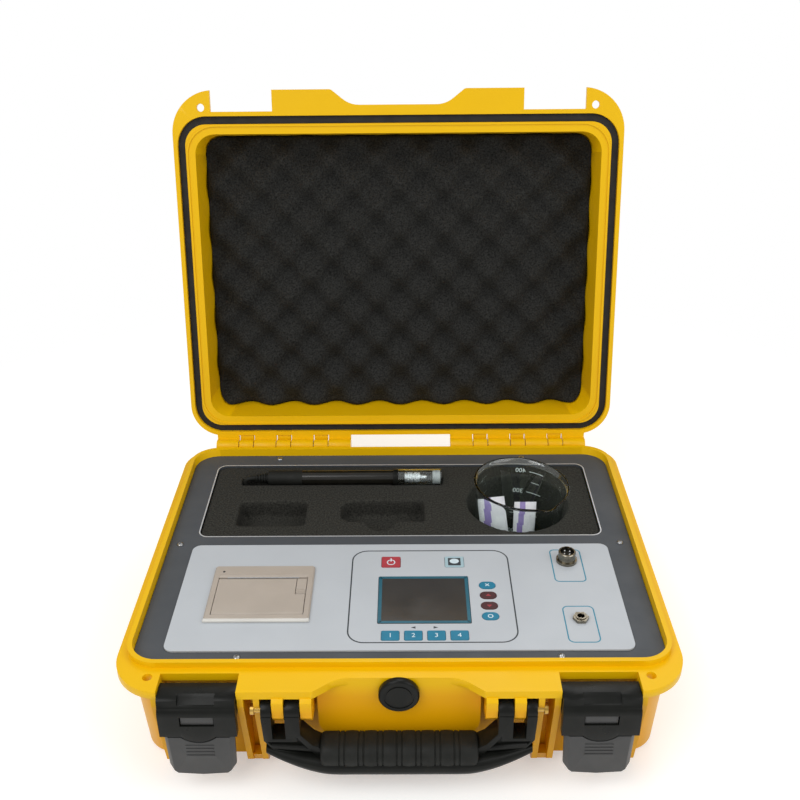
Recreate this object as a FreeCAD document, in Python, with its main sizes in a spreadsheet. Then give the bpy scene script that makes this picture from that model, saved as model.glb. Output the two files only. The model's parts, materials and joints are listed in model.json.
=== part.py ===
import FreeCAD, Part
import math
import os
import re
from types import SimpleNamespace

import Sketcher
from FreeCAD import Placement, Rotation, Vector

# A portable density meter: an instrument panel and a foam tray in a moulded carry case.
# Millimetres. +Z is up and the front of the case is at -Y. The origin is the centre of the
# base's underside. The lid is drawn closed and then turned open about its hinge.

doc = FreeCAD.newDocument("DensityMeter")

# ---------------------------------------------------------------- sizes

SIZES = {
    # case shells
    "case_width": 406,
    "case_depth": 304.8,
    "rim_corner": 30,
    "base_height": 97,
    "rim_drop": 5,
    "rim_overhang": 5.5,
    "flange_thick": 6.5,
    "shell_wall": 3.6,
    "floor_thick": 4,
    "floor_radius": 8,
    "wall_draft": 4.6,
    "ledge_width": 13,
    "ledge_thick": 5,
    # front of the flange: apron, ears, latch gaps and centre recess
    "apron_reach": 18.6,
    "ear_radius": 38,
    "ear_hole_radius": 3.5,
    "ear_hole_inset": 26.4,
    "ear_hole_setback": 15,
    "latch_gap_inset": 62.75,
    "latch_gap": 55.5,
    "recess_half_width": 43,
    "recess_slope": 17,
    "recess_round": 24,
    "recess_edge": 4,
    "recess_reach": 5.1,
    "rib_thick": 4.3,
    "rib_bottom": 6,
    "rib_foot_reach": 8,
    "rib_web": 8,
    # pad behind the pressure valve
    "pad_side_gap": 6.5,
    "pad_height": 49,
    "pad_corner": 14,
    # lid
    "lid_gap": 1.4,
    "lid_height": 50,
    "lid_open": 102,
    "lid_rim_width": 19.5,
    "lid_corner": 18,
    "lid_draft": 3,
    "lid_round": 9,
    "band_height": 10,
    "band_step": 2.5,
    "lid_flange_thick": 4.5,
    "gasket_width": 6.4,
    "gasket_thick": 3,
    "gasket_clear": 0.3,
    "groove_play": 0.3,
    "lid_foam_thick": 20.8,
    "foam_play": 0.5,
    # hinge
    "hinge_reach": 9.7,
    "hinge_drop": 7.6,
    "hinge_inset": 154.5,
    "knuckle_radius": 6,
    "knuckle_wide": 22,
    "knuckle_narrow": 14.3,
    "knuckle_play": 0.35,
    "hinge_pin_radius": 2.5,
    "pin_fit": 0.05,
    # panel and faceplate
    "panel_play": 0.9,
    "panel_thick": 3,
    "plate_recess": 5.8,
    "plate_side_margin": 21,
    "plate_front_margin": 13.6,
    "plate_share": 0.5313,
    "plate_corner": 7,
    "plate_thick": 1.2,
    "screw_side_inset": 9.9,
    "screw_side_y": 1.3,
    "screw_back_spread": 88,
    "screw_back_inset": 6.9,
    "screw_front_spread": 86,
    "screw_front_inset": 8.9,
    "screw_head_radius": 2.6,
    "screw_head_height": 1.4,
    "screw_radius": 1.45,
    "screw_length": 7,
    # foam tray
    "tray_side_margin": 22,
    "tray_back_margin": 17.4,
    "tray_bridge": 14,
    "tray_corner": 8,
    "foam_recess": 1.5,
    "left_pocket_inset": 58.5,
    "left_pocket_forward": 20,
    "left_pocket_width": 59,
    "left_pocket_depth": 36.5,
    "pocket_drop": 18,
    "mid_pocket_x": -15.5,
    "mid_pocket_forward": 17.3,
    "mid_pocket_width": 73,
    "mid_pocket_depth": 31.5,
    "mid_pocket_round": 11,
    "thumb_radius": 13,
    "thumb_x": -16.5,
    "pocket_corner": 3,
    # beaker
    "beaker_inset": 67,
    "beaker_radius": 39.5,
    "beaker_headroom": 9.6,
    "beaker_wall": 1.6,
    "beaker_rim_radius": 42.5,
    "beaker_flare": 5,
    "beaker_foot_round": 8,
    "beaker_tilt": 4,
    "beaker_hole_play": 5,
    "beaker_hole_rim": 7.5,
    "beaker_stand": 2.4,
    # probe
    "probe_back_margin": 24.5,
    "probe_radius": 6.6,
    "probe_rise": 3.5,
    "probe_inset": 81,
    "probe_to_beaker": 66,
    "grip_length": 31,
    "grip_radius": 6.9,
    "cap_length": 40,
    "cap_radius": 7.6,
    "cap_wall": 1.1,
    "collar_length": 4.5,
    "neck_length": 6,
    "cell_radius": 4.6,
    "cell_length": 26,
    "boot_length": 12,
    "boot_radius": 4.6,
    "lead_radius": 2.4,
    "lead_run": 1,
    "lead_bend": 9,
    "lead_down": 17,
    "groove_gap": 0.6,
    # keys, display and keypad board
    "key_rise": 0.25,
    "key_travel": 0.4,
    "key_lift": 0.1,
    "key_gap": 0.3,
    "key_front_margin": 15.6,
    "key_width": 13.3,
    "key_depth": 10.4,
    "key_first_x": -6.6,
    "key_pitch": 17.1,
    "oval_x": 69,
    "oval_back": 16.5,
    "oval_pitch": 12.2,
    "oval_width": 12.8,
    "oval_depth": 8.8,
    "power_x": -7,
    "light_x": 44.4,
    "top_key_gap": 11.8,
    "top_key_width": 15.2,
    "top_key_depth": 13.8,
    "key_round": 1.2,
    "display_x": 18.9,
    "display_gap": 8.1,
    "display_width": 70.6,
    "display_depth": 55.8,
    "display_thick": 1.4,
    "display_lip": 3,
    "module_thick": 7,
    "board_thick": 1.6,
    "board_side": 9,
    "board_edge": 1.6,
    # printer
    "printer_inset": 85,
    "printer_back": 0.6,
    "printer_width": 80,
    "printer_depth": 64.6,
    "bezel_height": 2.6,
    "bezel_frame": 4.6,
    "slot_depth": 16,
    "slot_gap": 4.8,
    "door_gap": 0.5,
    "door_lip": 1.2,
    "door_thick": 2.4,
    "door_pin_radius": 1,
    "door_pin_grip": 1.8,
    "lever_width": 7.6,
    "lever_depth": 18.5,
    "lever_thick": 3,
    "housing_wall": 2,
    "housing_play": 0.3,
    "housing_depth": 46,
    "paper_radius": 15,
    "paper_width": 57,
    "paper_core_radius": 6,
    "platen_radius": 4,
    "platen_axle_radius": 1.6,
    "platen_drop": 7,
    "platen_setback": 5,
    "head_height": 9,
    "head_drop": 3,
    "head_gap": 0.7,
    # sockets
    "input_inset": 57.4,
    "input_back_margin": 23,
    "input_radius": 7,
    "input_height": 9.6,
    "input_bore": 5.6,
    "input_nut_radius": 8.4,
    "input_nut_thick": 2.2,
    "input_tail": 12,
    "input_tail_radius": 6,
    "socket_floor": 1.5,
    "contact_radius": 0.6,
    "contact_circle": 2.9,
    "contact_rise": 5,
    "insert_thick": 3.5,
    "jack_inset": 56.6,
    "jack_front_margin": 33.2,
    "jack_nut_across": 10.6,
    "jack_nut_thick": 2.4,
    "jack_radius": 3.9,
    "jack_bore": 2.8,
    "jack_pin_radius": 1.05,
    "jack_rise": 3.2,
    "jack_tail": 12,
    # inside the base
    "main_board_x": 46,
    "main_board_forward": 0.9,
    "main_board_width": 150,
    "main_board_depth": 96,
    "main_board_drop": 35,
    "standoff_inset": 6,
    "standoff_radius": 3.5,
    "battery_inset": 89.9,
    "battery_width": 110,
    "battery_depth": 60,
    "battery_headroom": 11,
    "bracket_wall": 1.5,
    "bracket_foot": 12,
    "bracket_width": 24,
    "bracket_play": 0.2,
    # handle
    "handle_forward": 15.6,
    "handle_drop": 23.5,
    "handle_pin_radius": 2.5,
    "handle_pin_play": 0.1,
    "leg_radius": 8,
    "lug_thick": 8,
    "lug_outer_inset": 11.8,
    "lug_inner_inset": 31.5,
    "lug_front": 6,
    "lug_drop": 9.5,
    "leg_play": 0.7,
    "handle_side_gap": 16.5,
    "fork_depth": 20.5,
    "leg_drop": 22,
    "arm_sweep": 15,
    "arm_elbow": 28,
    "arm_under": 6,
    "arm_rise": 8,
    "arm_border": 2.6,
    "arm_web": 2.4,
    "arm_hollow": 3,
    "grip_forward": 18.6,
    "grip_drop": 66,
    "grip_inset": 44,
    "grip_thick": 27,
    "grip_tall": 32,
    "grip_corner": 12.5,
    "grip_edge": 2.5,
    "grip_core_thick": 13,
    "grip_core_tall": 16,
    "arm_thick": 15,
    # latches
    "link_forward": 5.1,
    "link_drop": 20,
    "link_length": 12,
    "link_rest": -8,
    "link_pin_radius": 2,
    "link_eye_radius": 4,
    "link_width": 39,
    "latch_side_play": 0.6,
    "barrel_radius": 8.5,
    "latch_cheek": 6,
    "latch_skin": 3,
    "hook_under": 10,
    "hook_thick": 3.5,
    "hook_reach": 11.2,
    "latch_drop": 22.2,
    "lobe_radius": 17,
    "lobe_drop": 5,
    "lobe_thick": 1.5,
    "lobe_room": 2,
    "tab_drop": 60.6,
    "tab_width": 49.6,
    "tab_neck": 26,
    "tab_thick": 6.3,
    "tab_gap": 1,
    "tab_facet": 3.4,
    "tab_pivot_drop": 8.2,
    "tab_pivot_setback": 3.9,
    "tab_pivot_radius": 1.6,
    "ridge_width": 20,
    "ridge_pitch": 3.2,
    "ridge_tall": 1.2,
    "ridge_rise": 0.5,
    "window_width": 24,
    "window_tall": 8.4,
    # pressure valve
    "valve_drop": 18,
    "knob_radius": 14.5,
    "knob_thick": 4.8,
    "knob_gap": 0.8,
    "valve_radius": 7,
    "valve_depth": 12,
    "spindle_radius": 2,
    "spindle_length": 3,
}

sheet = doc.addObject("Spreadsheet::Sheet", "Sizes")
for line, (alias, number) in enumerate(SIZES.items(), start=1):
    sheet.set(f"A{line}", alias)
    sheet.set(f"B{line}", str(number))
    sheet.setAlias(f"B{line}", alias)

# Levels and half sizes that more than one piece uses, worked out from the sizes above.
PLACES = {
    "flange_top": "base_height - rim_drop",
    "flange_under": "base_height - rim_drop - flange_thick",
    "tongue_x": "case_width / 2 - rim_overhang",
    "tongue_y": "case_depth / 2 - rim_overhang",
    "inner_x": "case_width / 2 - rim_overhang - shell_wall",
    "inner_y": "case_depth / 2 - rim_overhang - shell_wall",
    "inner_corner": "rim_corner - rim_overhang - shell_wall",
    "rim_front": "-case_depth / 2",
    "apron_front": "-case_depth / 2 - apron_reach",
    "recess_front": "-case_depth / 2 - recess_reach",
    "latch_gap_centre": "case_width / 2 - latch_gap_inset",
    "plate_top": "base_height - plate_recess",
    "panel_top": "base_height - plate_recess - plate_thick",
    "panel_under": "base_height - plate_recess - plate_thick - panel_thick",
    "foam_top": "base_height - plate_recess - plate_thick - foam_recess",
    "hinge_y": "case_depth / 2 + hinge_reach",
    "hinge_z": "base_height - hinge_drop",
    "lid_bottom": "base_height - rim_drop + lid_gap",
    "lid_top": "base_height - rim_drop + lid_gap + lid_height",
    "gap_inner": "latch_gap_centre - latch_gap / 2",
    "gap_outer": "latch_gap_centre + latch_gap / 2",
    "pad_face": "-case_depth / 2 - recess_reach",
    "hinge_inner": "case_width / 2 - hinge_inset",
    "panel_half_x": "inner_x - panel_play",
    "panel_half_y": "inner_y - panel_play",
    "plate_width": "2 * (panel_half_x - plate_side_margin)",
    "plate_depth": "plate_share * (2 * panel_half_y - plate_front_margin - tray_bridge - tray_back_margin)",
    "plate_y": "-panel_half_y + plate_front_margin + plate_depth / 2",
    "tray_width": "2 * (panel_half_x - tray_side_margin)",
    "tray_depth": "2 * panel_half_y - plate_front_margin - plate_depth - tray_bridge - tray_back_margin",
    "tray_y": "panel_half_y - tray_back_margin - tray_depth / 2",
    "screw_side_x": "inner_x - screw_side_inset",
    "screw_back_x": "case_width / 2 - screw_back_spread",
    "screw_back_y": "inner_y - screw_back_inset",
    "screw_front_x": "case_width / 2 - screw_front_spread",
    "screw_front_y": "-inner_y + screw_front_inset",
    "key_y": "plate_y - plate_depth / 2 + key_front_margin",
    "display_y": "key_y + key_depth / 2 + display_gap + display_depth / 2",
    "top_key_y": "display_y + display_depth / 2 + top_key_gap + top_key_depth / 2",
    "oval_first_y": "display_y + oval_back",
    "board_front": "key_y - key_depth / 2 - board_edge",
    "board_back": "top_key_y + top_key_depth / 2 + board_edge",
    "printer_x": "-panel_half_x + printer_inset",
    "printer_y": "plate_y + printer_back",
    "input_x": "panel_half_x - input_inset",
    "input_y": "plate_y + plate_depth / 2 - input_back_margin",
    "jack_x": "panel_half_x - jack_inset",
    "jack_y": "plate_y - plate_depth / 2 + jack_front_margin",
    "left_pocket_x": "-tray_width / 2 + left_pocket_inset",
    "left_pocket_y": "tray_y - left_pocket_forward",
    "mid_pocket_y": "tray_y - mid_pocket_forward",
    "beaker_x": "tray_width / 2 - beaker_inset",
    "beaker_y": "tray_y - (tray_depth - 2 * (beaker_radius + beaker_hole_play + beaker_hole_rim)) / 2",
    "beaker_height": "lid_top - shell_wall - lid_foam_thick - floor_thick - beaker_stand - beaker_headroom",
    "probe_left": "-tray_width / 2 + probe_inset",
    "probe_length": "beaker_x - probe_to_beaker - cap_length - probe_left",
    "probe_y": "tray_y + tray_depth / 2 - probe_back_margin",
    "main_board_y": "plate_y - main_board_forward",
    "main_board_z": "panel_under - main_board_drop",
    "battery_x": "-inner_x + battery_inset",
    "battery_y": "main_board_y",
    "battery_height": "panel_under - housing_depth - floor_thick - battery_headroom",
    "handle_half_width": "gap_inner - handle_side_gap",
    "lug_outer_x": "handle_half_width - lug_outer_inset",
    "lug_inner_x": "handle_half_width - lug_inner_inset",
    "handle_y": "-case_depth / 2 - handle_forward",
    "handle_z": "base_height - handle_drop",
    "grip_y": "-case_depth / 2 - grip_forward",
    "grip_z": "base_height - grip_drop",
    "grip_half": "handle_half_width - grip_inset",
    "pad_half_width": "lug_inner_x - pad_side_gap",
    "link_y": "-case_depth / 2 - link_forward",
    "link_z": "base_height - link_drop",
    "latch_width": "latch_gap - 2 * latch_side_play",
    "valve_z": "base_height - valve_drop",
    "key_low": "base_height - plate_recess - plate_thick - panel_thick + key_lift + key_travel",
    "leg_inner": "lug_inner_x + lug_thick / 2 + leg_play",
    "probe_axis": "base_height - plate_recess - plate_thick - foam_recess + probe_rise",
    "door_front": "printer_y - printer_depth / 2 + bezel_frame",
    "door_back": "printer_y + printer_depth / 2 - slot_depth",
    "door_left": "printer_x - printer_width / 2 + bezel_frame + door_gap",
    "door_right": "printer_x + printer_width / 2 - bezel_frame - door_gap",
    "door_pivot_y": "printer_y - printer_depth / 2 + bezel_frame + door_gap + door_thick",
    "door_pivot_z": "base_height - plate_recess + bezel_height - door_thick",
    "lever_front": "printer_y + printer_depth / 2 - slot_depth - door_lip - lever_depth",
    "barrel_y": "link_y - link_length * cos(link_rest)",
    "barrel_z": "link_z + link_length * sin(link_rest)",
}


def cells(formula, sheet_of):
    """An expression in which each size's name points at its cell."""
    return re.sub(r"[a-z]+(?:_[a-z]+)*", lambda found: sheet_of.get(found[0], "") + found[0], formula)


SIZE_CELLS = {alias: "Sizes." for alias in SIZES}
ALL_CELLS = SIZE_CELLS | {alias: "Places." for alias in PLACES}
places = doc.addObject("Spreadsheet::Sheet", "Places")
for line, (alias, formula) in enumerate(PLACES.items(), start=1):
    places.set(f"A{line}", alias)
    places.set(f"B{line}", "=" + cells(formula, SIZE_CELLS))
    places.setAlias(f"B{line}", alias)
doc.recompute()

# s.case_width and so on: the sheets' numbers, for shapes that are made by code
s = SimpleNamespace(**{alias: float(sheet.get(alias)) for alias in SIZES},
                    **{alias: float(places.get(alias)) for alias in PLACES})

OPEN_LID = Placement(Vector(0, 0, 0), Rotation(Vector(1, 0, 0), -s.lid_open),
                     Vector(0, s.hinge_y, s.hinge_z))
SIDES = {"left": -1, "right": 1}
nodes = []


# ---------------------------------------------------------------- helpers

def bind(thing, **formulas):
    """Tie properties of an object to the sheets; x, y and z are its place."""
    for name, formula in formulas.items():
        path = f"Placement.Base.{name}" if name in ("x", "y", "z") else name
        thing.setExpression(path, cells(formula, ALL_CELLS))
    return thing


def keep(thing, label):
    """Make an object one of the kept pieces, under the name of its file."""
    thing.Label = label
    nodes.append(thing)
    return thing


def coded(label, shape, placement=None):
    """A piece whose shape is made by code from the sheets' numbers."""
    thing = doc.addObject("Part::Feature", "Coded_" + label)
    thing.Shape = shape
    if placement:
        thing.Placement = placement
    return keep(thing, label)


def block(name, length, width, height, x, y, z):
    """A box centred on x and y that stands on z."""
    box = doc.addObject("Part::Box", name)
    return bind(box, Length=length, Width=width, Height=height,
                x=f"{x} - ({length}) / 2", y=f"{y} - ({width}) / 2", z=z)


TURNS = {"x": Rotation(Vector(0, 1, 0), 90), "y": Rotation(Vector(1, 0, 0), 90), "z": Rotation()}


def rod(name, radius, length, x, y, z, along="z"):
    """A cylinder from a point along +x, -y or +z."""
    cylinder = doc.addObject("Part::Cylinder", name)
    cylinder.Placement = Placement(Vector(), TURNS[along])
    return bind(cylinder, Radius=radius, Height=length, x=x, y=y, z=z)


def cut(name, base, tool):
    result = doc.addObject("Part::Cut", name)
    result.Base = base
    result.Tool = tool
    return result


def joined(name, *parts):
    result = doc.addObject("Part::MultiFuse", name)
    result.Shapes = list(parts)
    result.Refine = True
    return result


def group(name, *parts):
    """Separate solids of identical pieces in one node."""
    result = doc.addObject("Part::Compound", name)
    result.Links = list(parts)
    return result


def sketch_on(body, name, z="0", x="0", y="0"):
    """A sketch parallel to the body's XY plane, moved to a place inside the body."""
    plane = next(f for f in body.Origin.OriginFeatures if f.Role == "XY_Plane")
    sketch = body.newObject("Sketcher::SketchObject", name)
    sketch.AttachmentSupport = (plane, [""])
    sketch.MapMode = "FlatFace"
    for axis, formula in (("x", x), ("y", y), ("z", z)):
        sketch.setExpression(f"AttachmentOffset.Base.{axis}", cells(formula, ALL_CELLS))
    return sketch


def draw_rounded(sketch, width, depth, radius):
    """A rounded rectangle about the sketch's origin, sized by the sheets."""
    wide, deep, corner = 20.0, 12.0, 2.0
    geometry = []
    for turn in range(4):
        half = (wide, deep)[turn % 2] / 2
        side = (deep, wide)[turn % 2] / 2
        turned = Rotation(Vector(0, 0, 1), 90 * turn)
        start = turned.multVec(Vector(-half + corner, -side, 0))
        end = turned.multVec(Vector(half - corner, -side, 0))
        middle = turned.multVec(Vector(half - corner, -side + corner, 0))
        circle = Part.Circle(middle, Vector(0, 0, 1), corner)
        first = math.radians(90 * turn - 90)
        geometry += [Part.LineSegment(start, end), Part.ArcOfCircle(circle, first, first + math.pi / 2)]
    sketch.addGeometry(geometry, False)
    rule = Sketcher.Constraint
    rules = [rule("Tangent", i, 2, (i + 1) % 8, 1) for i in range(8)]
    rules += [rule("Horizontal", 0), rule("Vertical", 2), rule("Horizontal", 4), rule("Vertical", 6)]
    rules += [rule("Equal", 1, 3), rule("Equal", 3, 5), rule("Equal", 5, 7)]
    rules += [rule("Symmetric", 1, 3, 5, 3, -1, 1)]
    first = len(rules)
    rules += [rule("Radius", 1, corner), rule("DistanceX", 7, 3, 1, 3, wide - 2 * corner),
              rule("DistanceY", 1, 3, 3, 3, deep - 2 * corner)]
    sketch.addConstraint(rules)
    sizes = (("radius", radius), ("span", f"{width} - 2 * ({radius})"),
             ("reach", f"{depth} - 2 * ({radius})"))
    for place, (name, formula) in enumerate(sizes):
        sketch.renameConstraint(first + place, name)
        sketch.setExpression("Constraints." + name, cells(formula, ALL_CELLS))


def draw_circle(sketch, radius):
    """A circle about the sketch's origin."""
    sketch.addGeometry(Part.Circle(Vector(0, 0, 0), Vector(0, 0, 1), 5.0), False)
    sketch.addConstraint([Sketcher.Constraint("Coincident", 0, 3, -1, 1),
                          Sketcher.Constraint("Radius", 0, 5.0)])
    sketch.renameConstraint(1, "radius")
    sketch.setExpression("Constraints.radius", cells(radius, ALL_CELLS))


def pad(body, name, sketch, length):
    feature = body.newObject("PartDesign::Pad", name)
    feature.Profile = sketch
    feature.setExpression("Length", cells(length, ALL_CELLS))
    return feature


def pocket(body, name, sketch, length):
    """Cut downwards from the sketch."""
    feature = body.newObject("PartDesign::Pocket", name)
    feature.Profile = sketch
    feature.setExpression("Length", cells(length, ALL_CELLS))
    return feature


def plate(label, width, depth, corner, thick, x="0", y="0", z="0"):
    """A body with one rounded plate standing on z; more features may follow."""
    body = doc.addObject("PartDesign::Body", "Body_" + label)
    outline = sketch_on(body, label + "_outline")
    draw_rounded(outline, width, depth, corner)
    pad(body, label + "_pad", outline, thick)
    bind(body, x=x, y=y, z=z)
    return keep(body, label)


def hole(body, label, top, deep, x, y, width=None, depth=None, corner=None, radius=None):
    """A rounded or round hole cut down from a height inside the body."""
    outline = sketch_on(body, label + "_outline", z=top, x=x, y=y)
    if radius:
        draw_circle(outline, radius)
    else:
        draw_rounded(outline, width, depth, corner)
    pocket(body, label + "_cut", outline, deep)


def rounded(half_x, half_y, corner, z, x=0.0, y=0.0):
    """A rounded rectangle as a wire in a level plane."""
    edges = []
    for turn, (sign_x, sign_y) in enumerate(((1, -1), (1, 1), (-1, 1), (-1, -1))):
        middle = Vector(x + sign_x * (half_x - corner), y + sign_y * (half_y - corner), z)
        first = math.radians(90 * turn - 90)
        edges.append(Part.ArcOfCircle(Part.Circle(middle, Vector(0, 0, 1), corner),
                                      first, first + math.pi / 2).toShape())
    ring = []
    for arc, following in zip(edges, edges[1:] + edges[:1]):
        ring += [arc, Part.LineSegment(arc.Vertexes[-1].Point, following.Vertexes[0].Point).toShape()]
    return Part.Wire(ring)


def raised(wire, height):
    return Part.Face(wire).extrude(Vector(0, 0, height))


def tapered(half_x, half_y, corner, low, high, inset):
    """A block with drafted sides and rounded upright corners.

    The half sizes are those at the level `high`; at `low` each side is further in by `inset`.
    """
    rings = []
    for z, step in ((low, inset), (high, 0)):
        x, y = half_x - step, half_y - step
        rings.append([Vector(-x, -y, z), Vector(x, -y, z), Vector(x, y, z), Vector(-x, y, z)])
    faces = [Part.Face(Part.makePolygon(ring + ring[:1])) for ring in (rings[0][::-1], rings[1])]
    for k in range(4):
        n = (k + 1) % 4
        side = [rings[0][k], rings[0][n], rings[1][n], rings[1][k], rings[0][k]]
        faces.append(Part.Face(Part.makePolygon(side)))
    solid = Part.makeSolid(Part.makeShell(faces))
    upright = [e for e in solid.Edges if abs(e.Vertexes[0].Z - e.Vertexes[-1].Z) > 1e-6]
    return solid.makeFillet(corner, upright)


def prism(points, along):
    """A solid between a closed outline of points and its copy moved by a vector."""
    return Part.Face(Part.makePolygon(points + points[:1])).extrude(along)


def rib(x_low, x_high, outline):
    """A plate square to X with an outline of (y, z) points."""
    return prism([Vector(x_low, y, z) for y, z in outline], Vector(x_high - x_low, 0, 0))


def cross_rod(radius, x_low, x_high, y, z):
    """A round bar along X."""
    return Part.makeCylinder(radius, x_high - x_low, Vector(x_low, y, z), Vector(1, 0, 0))


def mirrored(shape):
    return shape.mirror(Vector(0, 0, 0), Vector(1, 0, 0))


def box(low, high):
    return Part.makeBox(high[0] - low[0], high[1] - low[1], high[2] - low[2], Vector(*low))


def level_edges(shape, z):
    """Edges that lie in one level plane."""
    return [e for e in shape.Edges if all(abs(v.Z - z) < 1e-6 for v in e.Vertexes)]


# ---------------------------------------------------------------- base shell

def front_apron(z_low, thick):
    """The flange's front edge in plan: two blocks, a sloped centre recess and the two ears."""
    back = s.rim_front + s.rim_overhang
    outer = s.recess_half_width + s.recess_slope
    outline = [(-s.gap_inner, back), (-s.gap_inner, s.apron_front), (-outer, s.apron_front),
               (-s.recess_half_width, s.recess_front), (s.recess_half_width, s.recess_front),
               (outer, s.apron_front), (s.gap_inner, s.apron_front), (s.gap_inner, back)]
    apron = prism([Vector(x, y, z_low) for x, y in outline], Vector(0, 0, thick))
    for corner_x, radius in ((s.recess_half_width, s.recess_round), (outer, s.recess_edge)):
        upright = [e for e in apron.Edges if all(abs(abs(v.X) - corner_x) < 1e-6 for v in e.Vertexes)
                   and abs(e.Vertexes[0].Z - e.Vertexes[-1].Z) > thick / 2]
        apron = apron.makeFillet(radius, upright)
    middle = (s.case_width / 2 - s.ear_radius, s.apron_front + s.ear_radius)
    disc = Part.makeCylinder(s.ear_radius, thick, Vector(middle[0], middle[1], z_low))
    quarter = box((s.gap_outer, s.apron_front, z_low), (s.case_width / 2, middle[1], z_low + thick))
    ear = disc.common(quarter)
    strip = box((s.gap_outer, middle[1], z_low),
                (s.case_width / 2, s.rim_front + s.rim_corner + 1, z_low + thick))
    hole_at = Vector(s.case_width / 2 - s.ear_hole_inset, s.apron_front + s.ear_hole_setback, z_low - 1)
    ear = ear.fuse(strip).cut(Part.makeCylinder(s.ear_hole_radius, thick + 2, hole_at))
    return [apron, ear, mirrored(ear)]


def knuckle_row(wide):
    """Spans of the wide or the narrow knuckles on the right-hand hinge, from the inside out."""
    spans = []
    at = s.hinge_inner
    for number in range(7):
        length = s.knuckle_narrow if number % 2 else s.knuckle_wide
        if (number % 2 == 0) == wide:
            spans.append((at, at + length))
        at += length
    return spans


def base_shell():
    low = s.wall_draft
    height = s.base_height
    tub = tapered(s.tongue_x, s.tongue_y, s.rim_corner - s.rim_overhang, 0, height, low)
    tub = tub.makeChamfer(s.floor_radius / 2, level_edges(tub, 0))
    inset = low * (height - s.floor_thick) / height
    hollow = tapered(s.inner_x, s.inner_y, s.inner_corner, s.floor_thick, height, inset)
    middle = s.rim_overhang + s.shell_wall / 2
    ring_hole = rounded(s.case_width / 2 - middle, s.case_depth / 2 - middle, s.rim_corner - middle,
                        s.flange_under)
    flange = raised(rounded(s.case_width / 2, s.case_depth / 2, s.rim_corner, s.flange_under), s.flange_thick)
    flange = flange.cut(raised(ring_hole, s.flange_thick))
    ledge_low = s.panel_under - s.ledge_thick
    ledge = raised(rounded(s.case_width / 2 - middle, s.case_depth / 2 - middle, s.rim_corner - middle,
                           ledge_low), s.ledge_thick)
    ledge = ledge.cut(raised(rounded(s.inner_x - s.ledge_width, s.inner_y - s.ledge_width,
                                     s.inner_corner - s.ledge_width / 2, ledge_low), s.ledge_thick))
    inside = raised(ring_hole, s.flange_thick)
    front = [piece.cut(inside) for piece in front_apron(s.flange_under, s.flange_thick)]
    wall = tub.cut(hollow).fuse([flange, ledge] + front).removeSplitter()

    # ribs beside the latches and the handle, from the flange down to the floor
    back = -s.tongue_y + s.shell_wall / 2
    foot = -s.tongue_y - s.rib_foot_reach
    web = s.rib_web
    outline = [(back, s.flange_under + 1), (s.apron_front + 1, s.flange_under + 1),
               (s.apron_front + 1, s.flange_under - web), (foot, s.rib_bottom + web / 2),
               (foot + web / 2, s.rib_bottom), (back + low, s.rib_bottom)]
    outer_leg = s.handle_half_width + 1
    rib_spans = [(s.gap_inner - s.rib_thick, s.gap_inner), (s.gap_outer, s.gap_outer + s.rib_thick),
                 (outer_leg, outer_leg + s.rib_thick)]
    ribs = [rib(a, b, outline) for a, b in rib_spans]
    foot_web = [(back, s.rib_bottom), (foot + web / 2, s.rib_bottom), (foot + 1, s.rib_bottom + web),
                (back, s.rib_bottom + web)]
    ribs.append(rib(outer_leg, s.gap_inner, foot_web))

    # handle lugs under the apron
    front = s.handle_y - s.lug_front
    for x in (s.lug_outer_x, s.lug_inner_x):
        lug = rib(x - s.lug_thick / 2, x + s.lug_thick / 2,
                  [(back, s.flange_under + 1), (front + 2.5, s.flange_under + 1), (front, s.flange_under - 1.5),
                   (front, s.handle_z - 3), (s.handle_y - 1, s.handle_z - s.lug_drop),
                   (back, s.handle_z - s.lug_drop - 6)])
        ribs.append(lug)
    extras = ribs + [mirrored(shape) for shape in ribs]

    # pad that carries the pressure valve
    pad_mid = s.flange_under + 0.5 - s.pad_height / 2
    pad_wire = rounded(s.pad_half_width, s.pad_height / 2, s.pad_corner, 0)
    valve_pad = Part.Face(pad_wire).extrude(Vector(0, 0, back - s.pad_face))
    valve_pad.rotate(Vector(), Vector(1, 0, 0), -90)
    valve_pad.translate(Vector(0, s.pad_face, pad_mid))
    extras.append(valve_pad)

    # hinge knuckles and their webs
    for start, end in knuckle_row(wide=False):
        barrel = cross_rod(s.knuckle_radius, start + s.knuckle_play, end - s.knuckle_play, s.hinge_y, s.hinge_z)
        web = rib(start + s.knuckle_play, end - s.knuckle_play,
                  [(s.case_depth / 2 - 4, s.flange_under), (s.hinge_y, s.hinge_z - s.knuckle_radius),
                   (s.hinge_y, s.hinge_z), (s.case_depth / 2 - 4, s.hinge_z)])
        for piece in (barrel, web):
            extras += [piece, mirrored(piece)]

    # bores: hinge pins, handle pins, latch pins and the valve
    bores = []
    hinge_length = 4 * s.knuckle_wide + 3 * s.knuckle_narrow
    bores.append(cross_rod(s.hinge_pin_radius + s.pin_fit, s.hinge_inner - 1,
                           s.hinge_inner + hinge_length + 1, s.hinge_y, s.hinge_z))
    bores.append(cross_rod(s.handle_pin_radius + s.pin_fit, s.lug_inner_x - s.lug_thick / 2 - 1,
                           outer_leg + s.rib_thick + 0.5, s.handle_y, s.handle_z))
    bores.append(cross_rod(s.link_pin_radius + s.pin_fit, s.gap_inner - s.rib_thick - 0.5,
                           s.gap_outer + s.rib_thick + 0.5, s.link_y, s.link_z))
    bores += [mirrored(shape) for shape in bores]
    bores.append(Part.makeCylinder(s.valve_radius + s.pin_fit, s.valve_depth + 5.2,
                                   Vector(0, s.pad_face - 5, s.valve_z), Vector(0, 1, 0)))
    for x, y in screw_spots():
        bores.append(Part.makeCylinder(s.screw_radius, s.screw_length + 1,
                                       Vector(x, y, s.panel_top - s.screw_length)))
    return wall.fuse(extras).cut(bores)


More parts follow.
